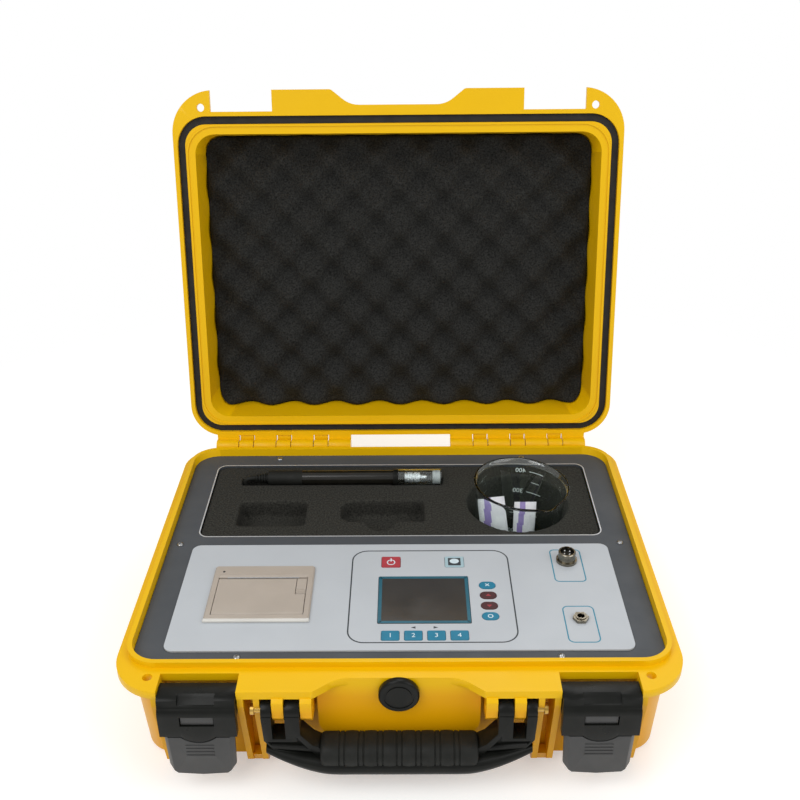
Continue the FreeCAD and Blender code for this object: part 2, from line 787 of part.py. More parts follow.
def screw_spots():
    """The six panel screws: two at the back, one each side, two at the front."""
    spots = [(s.screw_back_x, s.screw_back_y), (s.screw_side_x, s.screw_side_y),
             (s.screw_front_x, s.screw_front_y)]
    return spots + [(-x, y) for x, y in spots]


coded("base_shell", base_shell())


# ---------------------------------------------------------------- lid

def lid_shell():
    half_x, half_y = s.case_width / 2, s.case_depth / 2
    flange = raised(rounded(half_x, half_y, s.rim_corner, s.lid_bottom), s.lid_flange_thick)
    band = raised(rounded(half_x - s.band_step, half_y - s.band_step, s.rim_corner - s.band_step, s.lid_bottom),
                  s.band_height)
    step = s.lid_rim_width - s.shell_wall
    dome_low = s.lid_bottom + s.band_height - 2
    dome = tapered(half_x - step - s.lid_draft, half_y - step - s.lid_draft, s.lid_corner + s.shell_wall,
                   dome_low, s.lid_top, -s.lid_draft)
    dome = dome.makeFillet(s.lid_round, level_edges(dome, s.lid_top))
    shell = flange.fuse([band, dome] + front_apron(s.lid_bottom, s.lid_flange_thick))
    cavity_top = s.lid_top - s.shell_wall
    cavity = tapered(half_x - s.lid_rim_width - s.lid_draft, half_y - s.lid_rim_width - s.lid_draft,
                     s.lid_corner, s.lid_bottom, cavity_top, -s.lid_draft)
    shell = shell.cut([cavity, gasket_ring(s.lid_bottom, gasket_top() - s.lid_bottom, s.groove_play)])
    barrels = []
    for start, end in knuckle_row(wide=True):
        ends = (start + (s.knuckle_play if start > s.hinge_inner else 0), end - s.knuckle_play)
        barrel = cross_rod(s.knuckle_radius, ends[0], ends[1], s.hinge_y, s.hinge_z)
        web = rib(ends[0], ends[1],
                  [(half_y - 4, s.lid_bottom), (s.hinge_y - s.knuckle_radius, s.lid_bottom),
                   (s.hinge_y - s.knuckle_radius, s.hinge_z), (s.hinge_y + s.knuckle_radius, s.hinge_z),
                   (s.hinge_y + s.knuckle_radius - 2, s.lid_bottom + s.lid_flange_thick),
                   (half_y - 4, s.lid_bottom + s.lid_flange_thick)])
        barrels += [barrel, web, mirrored(barrel), mirrored(web)]
    hinge_length = 4 * s.knuckle_wide + 3 * s.knuckle_narrow
    bore = cross_rod(s.hinge_pin_radius + s.pin_fit, s.hinge_inner - 1, s.hinge_inner + hinge_length + 1,
                     s.hinge_y, s.hinge_z)
    return shell.fuse(barrels).cut([bore, mirrored(bore)]).removeSplitter()


def gasket_top():
    return s.base_height + s.gasket_clear + s.gasket_thick


def gasket_ring(z, height, play):
    """The sealing channel over the base's tongue, or the seal in it."""
    centre = s.rim_overhang + s.shell_wall / 2
    outer = centre - s.gasket_width / 2 - play
    inner = centre + s.gasket_width / 2 + play
    ring = raised(rounded(s.case_width / 2 - outer, s.case_depth / 2 - outer, s.rim_corner - outer, z), height)
    return ring.cut(raised(rounded(s.case_width / 2 - inner, s.case_depth / 2 - inner,
                                   s.rim_corner - inner, z), height))


coded("lid_shell", lid_shell(), OPEN_LID)
coded("lid_gasket", gasket_ring(gasket_top() - s.gasket_thick, s.gasket_thick, 0), OPEN_LID)


def lid_foam():
    """A sheet of convoluted foam, here as the closed block up to its peaks."""
    top = s.lid_top - s.shell_wall
    share = s.lid_foam_thick / (s.lid_height - s.shell_wall)
    inset = s.lid_rim_width + s.lid_draft + s.foam_play
    flare = s.lid_draft * share
    return tapered(s.case_width / 2 - inset, s.case_depth / 2 - inset, s.lid_corner,
                   top - s.lid_foam_thick, top, -flare)


coded("lid_foam", lid_foam(), OPEN_LID)

hinge_span = "4 * knuckle_wide + 3 * knuckle_narrow"
keep(group("HingePins",
           rod("HingePinRight", "hinge_pin_radius", hinge_span, "hinge_inner", "hinge_y", "hinge_z", "x"),
           rod("HingePinLeft", "hinge_pin_radius", hinge_span, f"-hinge_inner - ({hinge_span})", "hinge_y",
               "hinge_z", "x")), "hinge_pins")


# ---------------------------------------------------------------- keys, panel and faceplate

OVALS = ["key_escape", "key_up", "key_down", "key_enter"]
KEYS = {
    "key_power": ("power_x", "top_key_y", "top_key_width", "top_key_depth", "key_round"),
    "key_light": ("light_x", "top_key_y", "top_key_width", "top_key_depth", "key_round"),
}
for number in range(4):
    KEYS[f"key_f{number + 1}"] = (f"(key_first_x + {number} * key_pitch)", "key_y", "key_width", "key_depth",
                                  "key_round")
    KEYS[OVALS[number]] = ("oval_x", f"(oval_first_y - {number} * oval_pitch)", "oval_width", "oval_depth",
                           "(oval_depth / 2 - 0.05)")


def openings(body, label, top, deep, centre_y):
    """The holes that the panel and the faceplate share: keys, display, printer and sockets."""
    for name, (x, y, width, depth, corner) in KEYS.items():
        hole(body, f"{label}_{name}", top, deep, x, f"{y} - ({centre_y})", f"{width} + 2 * key_gap",
             f"{depth} + 2 * key_gap", f"{corner} + key_gap")
    hole(body, label + "_input", top, deep, "input_x", f"input_y - ({centre_y})",
         radius="input_tail_radius + pin_fit")
    hole(body, label + "_jack", top, deep, "jack_x", f"jack_y - ({centre_y})", radius="jack_radius + pin_fit")
    hole(body, label + "_printer", top, deep, "printer_x", f"printer_y - ({centre_y})",
         "printer_width - bezel_frame", "printer_depth - bezel_frame", "2")


panel = plate("panel_plate", "2 * (inner_x - panel_play)", "2 * (inner_y - panel_play)",
              "inner_corner - panel_play", "panel_thick", z="panel_under")
openings(panel, "panel", "panel_thick", "panel_thick", "0")
hole(panel, "panel_tray", "panel_thick", "panel_thick", "0", "tray_y", "tray_width", "tray_depth", "tray_corner")
hole(panel, "panel_display", "panel_thick", "panel_thick", "display_x", "display_y",
     "display_width - 2 * display_lip", "display_depth - 2 * display_lip", "1")
for number, (x, y) in enumerate((("screw_back_x", "screw_back_y"), ("screw_side_x", "screw_side_y"),
                                 ("screw_front_x", "screw_front_y"))):
    for side in ("", "-"):
        hole(panel, f"panel_screw_{number}{'left' if side else 'right'}", "panel_thick", "panel_thick",
             side + x, y, radius="screw_radius + pin_fit")

face = plate("faceplate", "plate_width", "plate_depth", "plate_corner", "plate_thick", y="plate_y",
             z="panel_top")
openings(face, "face", "plate_thick", "plate_thick", "plate_y")
hole(face, "face_display", "plate_thick", "plate_thick", "display_x", "display_y - (plate_y)",
     "display_width + 2 * key_gap", "display_depth + 2 * key_gap", "1 + key_gap")

for label, (x, y, width, depth, corner) in KEYS.items():
    plate(label, width, depth, corner, "plate_top + key_rise - key_low", x, y, "key_low")

plate("display_window", "display_width", "display_depth", "1", "display_thick", "display_x", "display_y",
      "panel_top")
plate("display_module", "display_width - 2", "display_depth - 2", "2", "module_thick", "display_x", "display_y",
      "panel_under - module_thick")

# the keypad board lies under every key and round the display module
board = plate("keypad_board", "oval_x - key_first_x + 2 * board_side + oval_width",
              "board_back - board_front", "3", "board_thick", "(oval_x + key_first_x) / 2",
              "(board_front + board_back) / 2", "panel_under - board_thick")
hole(board, "board_display", "board_thick", "board_thick", "display_x - (oval_x + key_first_x) / 2",
     "display_y - (board_front + board_back) / 2", "display_width - 1", "display_depth - 1", "2")


def screw_group():
    """Pan-head screws, one solid each."""
    screws = []
    for x, y in screw_spots():
        shank = Part.makeCylinder(s.screw_radius, s.screw_length, Vector(x, y, s.panel_top - s.screw_length))
        head = Part.makeCylinder(s.screw_head_radius, s.screw_head_height, Vector(x, y, s.panel_top))
        screws.append(head.fuse(shank).removeSplitter())
    return Part.makeCompound(screws)


coded("panel_screws", screw_group())


# ---------------------------------------------------------------- foam insert

def foam_insert():
    """The cut foam block that fills the tray opening down to the floor."""
    top, floor = s.foam_top, s.floor_thick
    half_x, half_y = s.tray_width / 2 - s.foam_play, s.tray_depth / 2 - s.foam_play
    foam = raised(rounded(half_x, half_y, s.tray_corner, floor, 0, s.tray_y), top - floor)
    low = top - s.pocket_drop
    left = raised(rounded(s.left_pocket_width / 2, s.left_pocket_depth / 2, s.pocket_corner, low,
                          s.left_pocket_x, s.left_pocket_y), s.pocket_drop)
    mid = raised(rounded(s.mid_pocket_width / 2, s.mid_pocket_depth / 2, s.mid_pocket_round, low,
                         s.mid_pocket_x, s.mid_pocket_y), s.pocket_drop)
    square = box((s.mid_pocket_x, s.mid_pocket_y - s.mid_pocket_depth / 2, low),
                 (s.mid_pocket_x + s.mid_pocket_width / 2, s.mid_pocket_y + s.mid_pocket_depth / 2, top))
    thumb = Part.makeCylinder(s.thumb_radius, s.pocket_drop,
                              Vector(s.thumb_x, s.mid_pocket_y - s.mid_pocket_depth / 2, low))
    well = Part.makeCylinder(s.beaker_radius + s.beaker_hole_play, top - floor,
                             Vector(s.beaker_x, s.beaker_y, floor))
    return foam.cut([left, mid.fuse([square, thumb]), well] + probe_groove()).removeSplitter()


def probe_groove():
    """A trough for the probe, wider at the cap, and a slot where its lead goes down."""
    cutters = []
    high = max(s.foam_top, s.probe_axis) + 1
    right = s.probe_left + s.probe_length
    spans = [(s.probe_left - s.grip_length, right, s.grip_radius + s.groove_gap),
             (right - s.collar_length - 1, right + s.cap_length + 1, s.cap_radius + s.groove_gap)]
    for start, end, radius in spans:
        cutters.append(cross_rod(radius, start, end, s.probe_y, s.probe_axis))
        cutters.append(box((start, s.probe_y - radius, s.probe_axis),
                           (end, s.probe_y + radius, high)))
    tail = s.probe_left - s.grip_length
    half = s.boot_radius + s.groove_gap + 0.6
    reach = s.boot_length + s.lead_run + s.lead_bend + s.lead_radius + 0.6
    cutters.append(box((tail - reach, s.probe_y - half, s.probe_axis - s.lead_bend - s.lead_down - 2),
                       (tail + 1, s.probe_y + half, high)))
    return cutters


coded("foam_insert", foam_insert())


# ---------------------------------------------------------------- beaker

def beaker():
    """A low-form beaker: one wall turned about its axis, flared to a rim."""
    outer, wall, tall = s.beaker_radius, s.beaker_wall, s.beaker_height
    rim, foot, flare = s.beaker_rim_radius, s.beaker_foot_round, s.beaker_flare
    skin = [(0, 0), (outer - foot, 0), (outer - foot * 0.3, foot * 0.3), (outer, foot), (outer, tall - flare),
            (rim, tall - wall), (rim - wall / 2, tall), (rim - wall, tall - wall), (outer - wall, tall - flare),
            (outer - wall, foot), (outer - foot * 0.3 - wall * 0.8, foot * 0.3 + wall * 0.8),
            (outer - foot, wall), (0, wall)]
    points = [Vector(radius, 0, z) for radius, z in skin]
    section = Part.Face(Part.makePolygon(points + points[:1]))
    return section.revolve(Vector(0, 0, 0), Vector(0, 0, 1), 360)


beaker_turn = Rotation(Vector(0, 1, 0), s.beaker_tilt)
beaker_foot = Vector(s.beaker_x - s.beaker_height / 2 * math.sin(math.radians(s.beaker_tilt)), s.beaker_y,
                     s.floor_thick + s.beaker_stand)
coded("beaker", beaker(), Placement(beaker_foot, beaker_turn))


# ---------------------------------------------------------------- probe

PROBE = {"y": "probe_y", "z": "probe_axis"}
probe_tube = rod("ProbeTube", "probe_radius", "probe_length - collar_length", "probe_left", **PROBE, along="x")
probe_neck = rod("ProbeNeck", "cap_radius - cap_wall - 0.1", "collar_length + neck_length",
                 "probe_left + probe_length - collar_length", **PROBE, along="x")
keep(joined("ProbeBodyParts", probe_tube, probe_neck), "probe_body")
keep(cut("ProbeCollarRing",
         rod("CollarOuter", "cap_radius", "collar_length", "probe_left + probe_length - collar_length", **PROBE,
             along="x"),
         rod("CollarBore", "cap_radius - cap_wall - 0.1", "collar_length",
             "probe_left + probe_length - collar_length", **PROBE, along="x")), "probe_collar")
keep(rod("ProbeGripSleeve", "grip_radius", "grip_length", "probe_left - grip_length", **PROBE, along="x"),
     "probe_grip")
keep(rod("ProbeCellTube", "cell_radius", "cell_length", "probe_left + probe_length + neck_length", **PROBE, along="x"),
     "probe_cell")
keep(cut("ProbeCapHollow",
         rod("CapOuter", "cap_radius", "cap_length", "probe_left + probe_length", **PROBE, along="x"),
         rod("CapBore", "cap_radius - cap_wall", "cap_length - cap_wall", "probe_left + probe_length", **PROBE,
             along="x")), "probe_cap")


def probe_boot():
    """The tapered boot at the probe's tail."""
    tail = s.probe_left - s.grip_length
    return Part.makeCone(s.boot_radius, s.lead_radius + 0.6, s.boot_length,
                         Vector(tail, s.probe_y, s.probe_axis), Vector(-1, 0, 0))


def probe_lead():
    """The lead from the boot: a short run, one quarter bend and a drop into the foam."""
    start = s.probe_left - s.grip_length - s.boot_length
    x, y, z = start - s.lead_run, s.probe_y, s.probe_axis
    radius, bend = s.lead_radius, s.lead_bend
    run = cross_rod(radius, x, start, y, z)
    turn = Part.Face(Part.Wire([Part.Circle(Vector(x, y, z), Vector(1, 0, 0), radius).toShape()]))
    turn = turn.revolve(Vector(x, y, z - bend), Vector(0, -1, 0), 90)
    drop = Part.makeCylinder(radius, s.lead_down, Vector(x - bend, y, z - bend - s.lead_down))
    return run.fuse([turn, drop])


coded("probe_boot", probe_boot())
coded("probe_lead", probe_lead())


# ---------------------------------------------------------------- printer

def printer_bezel():
    """The fixed frame with one opening for the door and the paper slot behind it."""
    x, y = s.printer_x, s.printer_y
    half_x, half_y = s.printer_width / 2, s.printer_depth / 2
    frame = raised(rounded(half_x, half_y, 2.5, s.plate_top, x, y), s.bezel_height)
    frame = frame.makeChamfer(1, level_edges(frame, s.plate_top + s.bezel_height))
    neck_x = half_x - s.bezel_frame / 2 - s.housing_play
    neck_y = half_y - s.bezel_frame / 2 - s.housing_play
    skirt = raised(rounded(neck_x, neck_y, 2, s.panel_under, x, y), s.plate_top + 0.1 - s.panel_under)
    opening = box((x - half_x + s.bezel_frame, s.door_front, s.panel_under - 1),
                  (x + half_x - s.bezel_frame, s.door_back + s.slot_gap, s.plate_top + s.bezel_height + 1))
    pin = cross_rod(s.door_pin_radius, s.door_left - s.door_gap - s.door_pin_grip,
                    s.door_right + s.door_gap + s.door_pin_grip, s.door_pivot_y, s.door_pivot_z)
    return frame.fuse(skirt).cut([opening, pin]).removeSplitter()


def printer_door():
    """The door over the paper, rolled at its hinged front edge, with a notch for the lever."""
    z_high = s.plate_top + s.bezel_height
    barrel = cross_rod(s.door_thick, s.door_left, s.door_right, s.door_pivot_y, s.door_pivot_z)
    slab = box((s.door_left, s.door_pivot_y, z_high - s.door_thick), (s.door_right, s.door_back - s.door_lip, z_high))
    notch = box((s.door_right - s.lever_width - s.door_gap, s.lever_front - s.door_gap, z_high - 5),
                (s.door_right + 1, s.door_back, z_high + 1))
    arms = []
    for edge in (s.door_left, s.door_right - 2):
        arms.append(rib(edge, edge + 2, [(s.lever_front - 7, z_high - 1), (s.lever_front - 2, z_high - 1),
                                         (s.lever_front - 2, z_high - 4.4), (s.door_back - 2, z_high - 4.4),
                                         (s.door_back - 2, z_high - s.platen_drop - 3),
                                         (s.lever_front - 7, z_high - s.platen_drop - 3)]))
    door = barrel.fuse(slab).cut(notch).fuse(arms)
    axle = cross_rod(s.platen_axle_radius + s.pin_fit, s.door_left - 1, s.door_right + 1,
                     s.door_back - s.platen_setback, z_high - s.platen_drop)
    hinge = cross_rod(s.door_pin_radius + s.pin_fit, s.door_left - 1, s.door_right + 1, s.door_pivot_y,
                      s.door_pivot_z)
    return door.cut([axle, hinge]).removeSplitter()


def door_lever():
    """The release lever in the door's notch, rolled about its front edge."""
    left, right = s.door_right - s.lever_width, s.door_right
    z_high = s.plate_top + s.bezel_height
    radius = s.lever_thick / 2
    roll = cross_rod(radius, left, right, s.lever_front + radius, z_high - radius)
    slab = box((left, s.lever_front + radius, z_high - s.lever_thick), (right, s.door_back - s.door_lip, z_high))
    return roll.fuse(slab).removeSplitter()


def printer_housing():
    """The open-topped tray under the bezel that holds the paper roll."""
    half_x = s.printer_width / 2 - s.bezel_frame / 2 - s.housing_play
    half_y = s.printer_depth / 2 - s.bezel_frame / 2 - s.housing_play
    x, y, low = s.printer_x, s.printer_y, s.panel_under - s.housing_depth
    wall = s.housing_wall
    outer = box((x - half_x, y - half_y, low), (x + half_x, y + half_y, s.panel_under))
    inner = box((x - half_x + wall, y - half_y + wall, low + wall),
                (x + half_x - wall, y + half_y - wall, s.panel_under + 1))
    return outer.cut(inner)


coded("printer_bezel", printer_bezel())
coded("printer_door", printer_door())
coded("door_lever", door_lever())
coded("printer_housing", printer_housing())
keep(rod("DoorPin", "door_pin_radius", "door_right - door_left + 2 * door_gap + 2 * door_pin_grip",
         "door_left - door_gap - door_pin_grip", "door_pivot_y", "door_pivot_z", "x"), "printer_door_pin")
platen_z = "plate_top + bezel_height - platen_drop"
keep(joined("PlatenRollerParts",
            rod("PlatenRubber", "platen_radius", "door_right - door_left - 5", "door_left + 2.5",
                "door_back - platen_setback", platen_z, "x"),
            rod("PlatenAxle", "platen_axle_radius", "door_right - door_left", "door_left",
                "door_back - platen_setback", platen_z, "x")), "platen_roller")
head_depth = "slot_depth - bezel_frame / 2 - housing_play - housing_wall - head_gap"
keep(block("PrintHeadBar", "paper_width + 2 * housing_wall", head_depth, "head_height", "printer_x",
           f"door_back + head_gap + ({head_depth}) / 2", "panel_under - head_height - head_drop"), "print_head")
paper_z = "panel_under - housing_depth + housing_wall + paper_radius + 0.3"
keep(cut("PaperRollWound",
         rod("PaperOuter", "paper_radius", "paper_width", "printer_x - paper_width / 2", "printer_y - 4",
             paper_z, "x"),
         rod("PaperCore", "paper_core_radius", "paper_width", "printer_x - paper_width / 2", "printer_y - 4",
             paper_z, "x")), "paper_roll")


# ---------------------------------------------------------------- sockets

def input_socket():
    """A round threaded socket with a keyway, open at the top."""
    at = Vector(s.input_x, s.input_y, s.plate_top)
    barrel = Part.makeCylinder(s.input_radius, s.input_height, at)
    barrel = barrel.makeChamfer(0.6, level_edges(barrel, s.plate_top + s.input_height))
    tail = Part.makeCylinder(s.input_tail_radius, s.input_tail + 0.5, at - Vector(0, 0, s.input_tail))
    bore = Part.makeCylinder(s.input_bore, s.input_height + 1, at + Vector(0, 0, s.socket_floor))
    keyway = box((s.input_x - 0.8, s.input_y, s.plate_top + 2 * s.socket_floor),
                 (s.input_x + 0.8, s.input_y + s.input_bore + 0.7, s.plate_top + s.input_height + 1))
    return barrel.fuse(tail).cut([bore, keyway]).removeSplitter()


def input_insert():
    """The insulator in the socket with its four contact pins."""
    at = Vector(s.input_x, s.input_y, s.plate_top + s.socket_floor)
    core = Part.makeCylinder(s.input_bore - s.pin_fit, s.insert_thick, at)
    pins = []
    for turn in (45, 135, 225, 315):
        offset = Rotation(Vector(0, 0, 1), turn).multVec(Vector(s.contact_circle, 0, 0))
        pins.append(Part.makeCylinder(s.contact_radius, s.contact_rise, at + offset))
    return core.fuse(pins).removeSplitter()


def hex_nut(x, y, z, across, thick, bore):
    corners = [Vector(x + across / math.sqrt(3) * math.cos(math.radians(60 * k)),
                      y + across / math.sqrt(3) * math.sin(math.radians(60 * k)), z) for k in range(6)]
    nut = prism(corners, Vector(0, 0, thick))
    return nut.cut(Part.makeCylinder(bore, thick + 2, Vector(x, y, z - 1)))


def power_jack():
    """The DC socket: a threaded sleeve with a centre pin standing on its closed end."""
    at = Vector(s.jack_x, s.jack_y, s.plate_top - s.jack_tail)
    sleeve = Part.makeCylinder(s.jack_radius, s.jack_tail + s.jack_rise, at)
    sleeve = sleeve.cut(Part.makeCylinder(s.jack_bore, s.jack_tail + s.jack_rise, at + Vector(0, 0, 2)))
    return sleeve.fuse(Part.makeCylinder(s.jack_pin_radius, s.jack_tail, at + Vector(0, 0, 1))).removeSplitter()


coded("input_socket", input_socket())
coded("input_insert", input_insert())
keep(cut("InputNutRing",
         rod("InputNutOuter", "input_nut_radius", "input_nut_thick", "input_x", "input_y", "plate_top"),
         rod("InputNutBore", "input_radius", "input_nut_thick", "input_x", "input_y", "plate_top")), "input_nut")
coded("power_jack", power_jack())
coded("power_nut", hex_nut(s.jack_x, s.jack_y, s.plate_top, s.jack_nut_across, s.jack_nut_thick, s.jack_radius))


# ---------------------------------------------------------------- inside the base

plate("main_board", "main_board_width", "main_board_depth", "3", "board_thick", "main_board_x", "main_board_y",
      "main_board_z")
keep(group("BoardStandoffs", *[
    rod(f"Standoff{'Right' if x == '+' else 'Left'}{'Back' if y == '+' else 'Front'}", "standoff_radius",
        "main_board_z - floor_thick", f"main_board_x {x} (main_board_width / 2 - standoff_inset)",
        f"main_board_y {y} (main_board_depth / 2 - standoff_inset)", "floor_thick")
    for x in "+-" for y in "+-"]), "board_standoffs")
plate("battery_pack", "battery_width", "battery_depth", "5", "battery_height", "battery_x", "battery_y",
      "floor_thick")


def battery_bracket():
    """A bent strap over the battery with a foot on the floor at each end."""
    wall = s.bracket_wall
    inner = s.battery_depth / 2 + s.bracket_play
    outer = inner + wall
    y, z = s.battery_y, s.floor_thick
    top = z + s.battery_height
    half_profile = [(outer + s.bracket_foot, z + wall), (outer + s.bracket_foot, z), (inner, z), (inner, top)]
    profile = [(y + reach, level) for reach, level in half_profile]
    profile += [(y - reach, level) for reach, level in reversed(half_profile)]
    profile += [(y - outer, z + wall), (y - outer, top + wall), (y + outer, top + wall), (y + outer, z + wall)]
    return rib(s.battery_x - s.bracket_width / 2, s.battery_x + s.bracket_width / 2, profile)


coded("battery_bracket", battery_bracket())


# ---------------------------------------------------------------- handle

def arm_outline():
    """One arm seen from the front: a fork's legs above, sweeping in to the grip below."""
    outer_x, inner_x, rise = s.handle_half_width, s.leg_inner, s.arm_rise
    low = s.grip_z - s.grip_core_tall / 2
    high = s.grip_z + s.grip_core_tall / 2
    return [(outer_x, s.handle_z), (outer_x - 1, s.handle_z - s.leg_drop), (outer_x - s.arm_sweep, s.grip_z),
            (outer_x - s.arm_elbow, low - s.arm_under + 1), (s.grip_half + 2, low - s.arm_under),
            (s.grip_half - rise, low), (s.grip_half - rise, high), (s.grip_half + rise / 2, high + rise / 2),
            (inner_x - rise, high + rise), (inner_x, high + 2 * rise + 2), (inner_x, s.handle_z)]


def arm_hollows(y_front):
    """The moulded hollows in an arm's front face, with webs left standing across them."""
    outer_x, inner_x, border = s.handle_half_width, s.leg_inner, s.arm_border
    low = s.grip_z - s.grip_core_tall / 2 - s.arm_under
    high = s.grip_z + s.grip_core_tall / 2 + s.arm_rise
    top = s.handle_z - s.fork_depth - border
    outline = [(outer_x - border - 1, top), (outer_x - s.arm_sweep - border + 1, s.grip_z),
               (outer_x - s.arm_elbow - border, low + border + 1), (s.grip_half + 2 * border, low + border),
               (s.grip_half + 2 * border, s.grip_z), (inner_x - border, high), (inner_x + border, high + s.arm_rise),
               (inner_x + border, top)]
    hollow = prism([Vector(x, y_front - 1, z) for x, z in outline], Vector(0, s.arm_hollow + 1, 0))
    webs = []
    for share in (0.28, 0.55, 0.8):
        x = inner_x + border + share * (s.grip_half - inner_x)
        z = top + share * (low - top)
        web = box((-s.arm_thick * 2, y_front - 2, -s.arm_web / 2), (s.arm_thick * 2, y_front + s.arm_hollow + 1,
                                                               s.arm_web / 2))
        web.rotate(Vector(), Vector(0, 1, 0), -40 * share)
        web.translate(Vector(x, 0, z))
        webs.append(web)
    return hollow.cut(webs)


def handle_frame():
    outer_x, leg_inner = s.handle_half_width, s.leg_inner
    y_front = s.handle_y - s.arm_thick / 2 - 1
    arm = prism([Vector(x, y_front, z) for x, z in arm_outline()], Vector(0, s.arm_thick, 0))
    crown = cross_rod(s.leg_radius, leg_inner, outer_x, s.handle_y, s.handle_z)
    slot_x = s.lug_thick / 2 + s.leg_play
    slot = box((s.lug_outer_x - slot_x, s.handle_y - s.arm_thick, s.handle_z - s.fork_depth),
               (s.lug_outer_x + slot_x, s.handle_y + s.arm_thick, s.handle_z + s.fork_depth))
    over = box((leg_inner - 1, s.handle_y - s.arm_thick, s.handle_z),
               (outer_x + 1, s.handle_y + s.arm_thick, s.handle_z + s.fork_depth))
    arm = arm.cut([over, arm_hollows(y_front)]).fuse(crown).cut(slot)
    arm = arm.cut(cross_rod(s.handle_pin_radius + s.handle_pin_play, leg_inner - 1, outer_x + 1, s.handle_y,
                            s.handle_z))
    core = box((-s.grip_half - 4, s.grip_y - s.grip_core_thick / 2, s.grip_z - s.grip_core_tall / 2),
               (s.grip_half + 4, s.grip_y + s.grip_core_thick / 2, s.grip_z + s.grip_core_tall / 2))
    return core.fuse([arm, mirrored(arm)])


def grip_sleeve(frame):
    """The moulded grip over the handle's core, a rounded oblong in section."""
    sleeve = raised(rounded(s.grip_tall / 2, s.grip_thick / 2, s.grip_corner, 0), 2 * s.grip_half)
    sleeve = sleeve.makeChamfer(s.grip_edge, level_edges(sleeve, 0) + level_edges(sleeve, 2 * s.grip_half))
    sleeve.rotate(Vector(), Vector(0, 1, 0), 90)
    sleeve.translate(Vector(-s.grip_half, s.grip_y, s.grip_z))
    return sleeve.cut(frame)


def handle_pins():
    """Two headed pins through the lugs and the handle's forks."""
    inner = s.lug_inner_x - s.lug_thick / 2 + 0.5
    outer = s.handle_half_width + 1 + s.rib_thick
    pin = cross_rod(s.handle_pin_radius, inner, outer, s.handle_y, s.handle_z)
    head = cross_rod(s.handle_pin_radius + 1.5, outer, outer + 2.5, s.handle_y, s.handle_z)
    pin = pin.fuse(head).removeSplitter()
    return Part.makeCompound([pin, mirrored(pin)])


frame_shape = handle_frame()
coded("handle_frame", frame_shape)
coded("handle_grip", grip_sleeve(frame_shape))
coded("handle_pins", handle_pins())


# ---------------------------------------------------------------- latches

def latch_lobe(x, play, deep):
    """The round lobe in the middle of the latch's lower edge, or the room for it in the tab."""
    front = s.barrel_y - s.barrel_radius
    edge = s.barrel_z - s.latch_drop
    disc = Part.makeCylinder(s.lobe_radius + play, deep + play,
                             Vector(x, front - play, edge + s.lobe_radius - s.lobe_drop), Vector(0, 1, 0))
    below = box((x - s.lobe_radius - play, front - play, edge - 2 * s.lobe_drop),
                (x + s.lobe_radius + play, front + deep, edge + 1))
    return disc.common(below)


def latch_body(x):
    """The black latch: two cheeks, a barrel skin and hook above, a front plate with a window below."""
    y, z = s.barrel_y, s.barrel_z
    half = s.latch_width / 2
    radius, skin = s.barrel_radius, s.latch_skin
    front, edge = y - radius, z - s.latch_drop
    low, high = x - half, x + half
    cheek_outline = [(front, z), (front, edge), (y - 2, edge), (y - 2, z - radius + 0.5), (y, z)]
    cheeks = []
    for start, end in ((low, low + s.latch_cheek), (high - s.latch_cheek, high)):
        cheeks.append(rib(start, end, cheek_outline))
        cheeks.append(cross_rod(radius, start, end, y, z))
    barrel = cross_rod(radius, low, high, y, z).cut(cross_rod(radius - skin, low - 1, high + 1, y, z))
    clear = rib(low - 1, high + 1, [(y + 3, z + 20), (y + 20, z + 20), (y + 20, z - 20), (y - 5.5, z - 20),
                                    (y - 5.5, z - 3), (y + 3, z + 6)])
    barrel = barrel.cut(clear)
    front_plate = rib(low, high, [(front, z), (front, edge), (front + skin, edge), (front + skin, z)])
    top = z + s.hook_under + s.hook_thick
    hook = rib(low, high, [(y - 6, z + 5.5), (y - 5, top - 1.5), (y - 3, top), (y + s.hook_reach, top),
                           (y + s.hook_reach, z + s.hook_under), (y + 3, z + s.hook_under - 1),
                           (y + 2, z + 6.3), (y, z + 7)])
    body = barrel.fuse([front_plate, hook, latch_lobe(x, 0, s.lobe_thick)] + cheeks)
    notch_half = s.window_width / 2 + 1
    notch = rib(x - notch_half, x + notch_half, [(y - 9, top - 5.5), (y - 4.4, top - 5.5), (y - 1, top - 1.6),
                                                 (y + 2, top + 1), (y - 9, top + 1)])
    window_top = z - s.tab_pivot_drop + s.window_tall / 2
    window = box((x - s.window_width / 2, front - 1, window_top - s.window_tall),
                 (x + s.window_width / 2, front + skin + 1, window_top))
    stub_bore = cross_rod(s.link_pin_radius + 0.5 + s.pin_fit, low + 2, high - 2, y, z)
    tab_bore = cross_rod(s.tab_pivot_radius + s.pin_fit, low + 3, high - 3, y - s.tab_pivot_setback,
                         z - s.tab_pivot_drop)
    return body.cut([notch, window, tab_bore, stub_bore]).removeSplitter()


def latch_link(x):
    """The link between the case pin and the latch, with a moulded stub at each side."""
    y, z = s.barrel_y, s.barrel_z
    half = s.link_width / 2
    hub = cross_rod(s.link_eye_radius, x - half, x + half, y, z)
    eye = cross_rod(s.link_eye_radius, x - half, x + half, s.link_y, s.link_z)
    along = Vector(0, s.link_y - y, s.link_z - z)
    side = Vector(1, 0, 0).cross(along)
    side.normalize()
    side = side * (s.link_eye_radius * 0.75)
    start, end = Vector(x - half, y, z), Vector(x - half, s.link_y, s.link_z)
    web = prism([start + side, end + side, end - side, start - side], Vector(2 * half, 0, 0))
    stub = cross_rod(s.link_pin_radius + 0.5, x - s.latch_width / 2 + 2.5, x + s.latch_width / 2 - 2.5, y, z)
    bore = cross_rod(s.link_pin_radius + s.pin_fit, x - half - 1, x + half + 1, s.link_y, s.link_z)
    return hub.fuse([eye, web, stub]).cut(bore).removeSplitter()


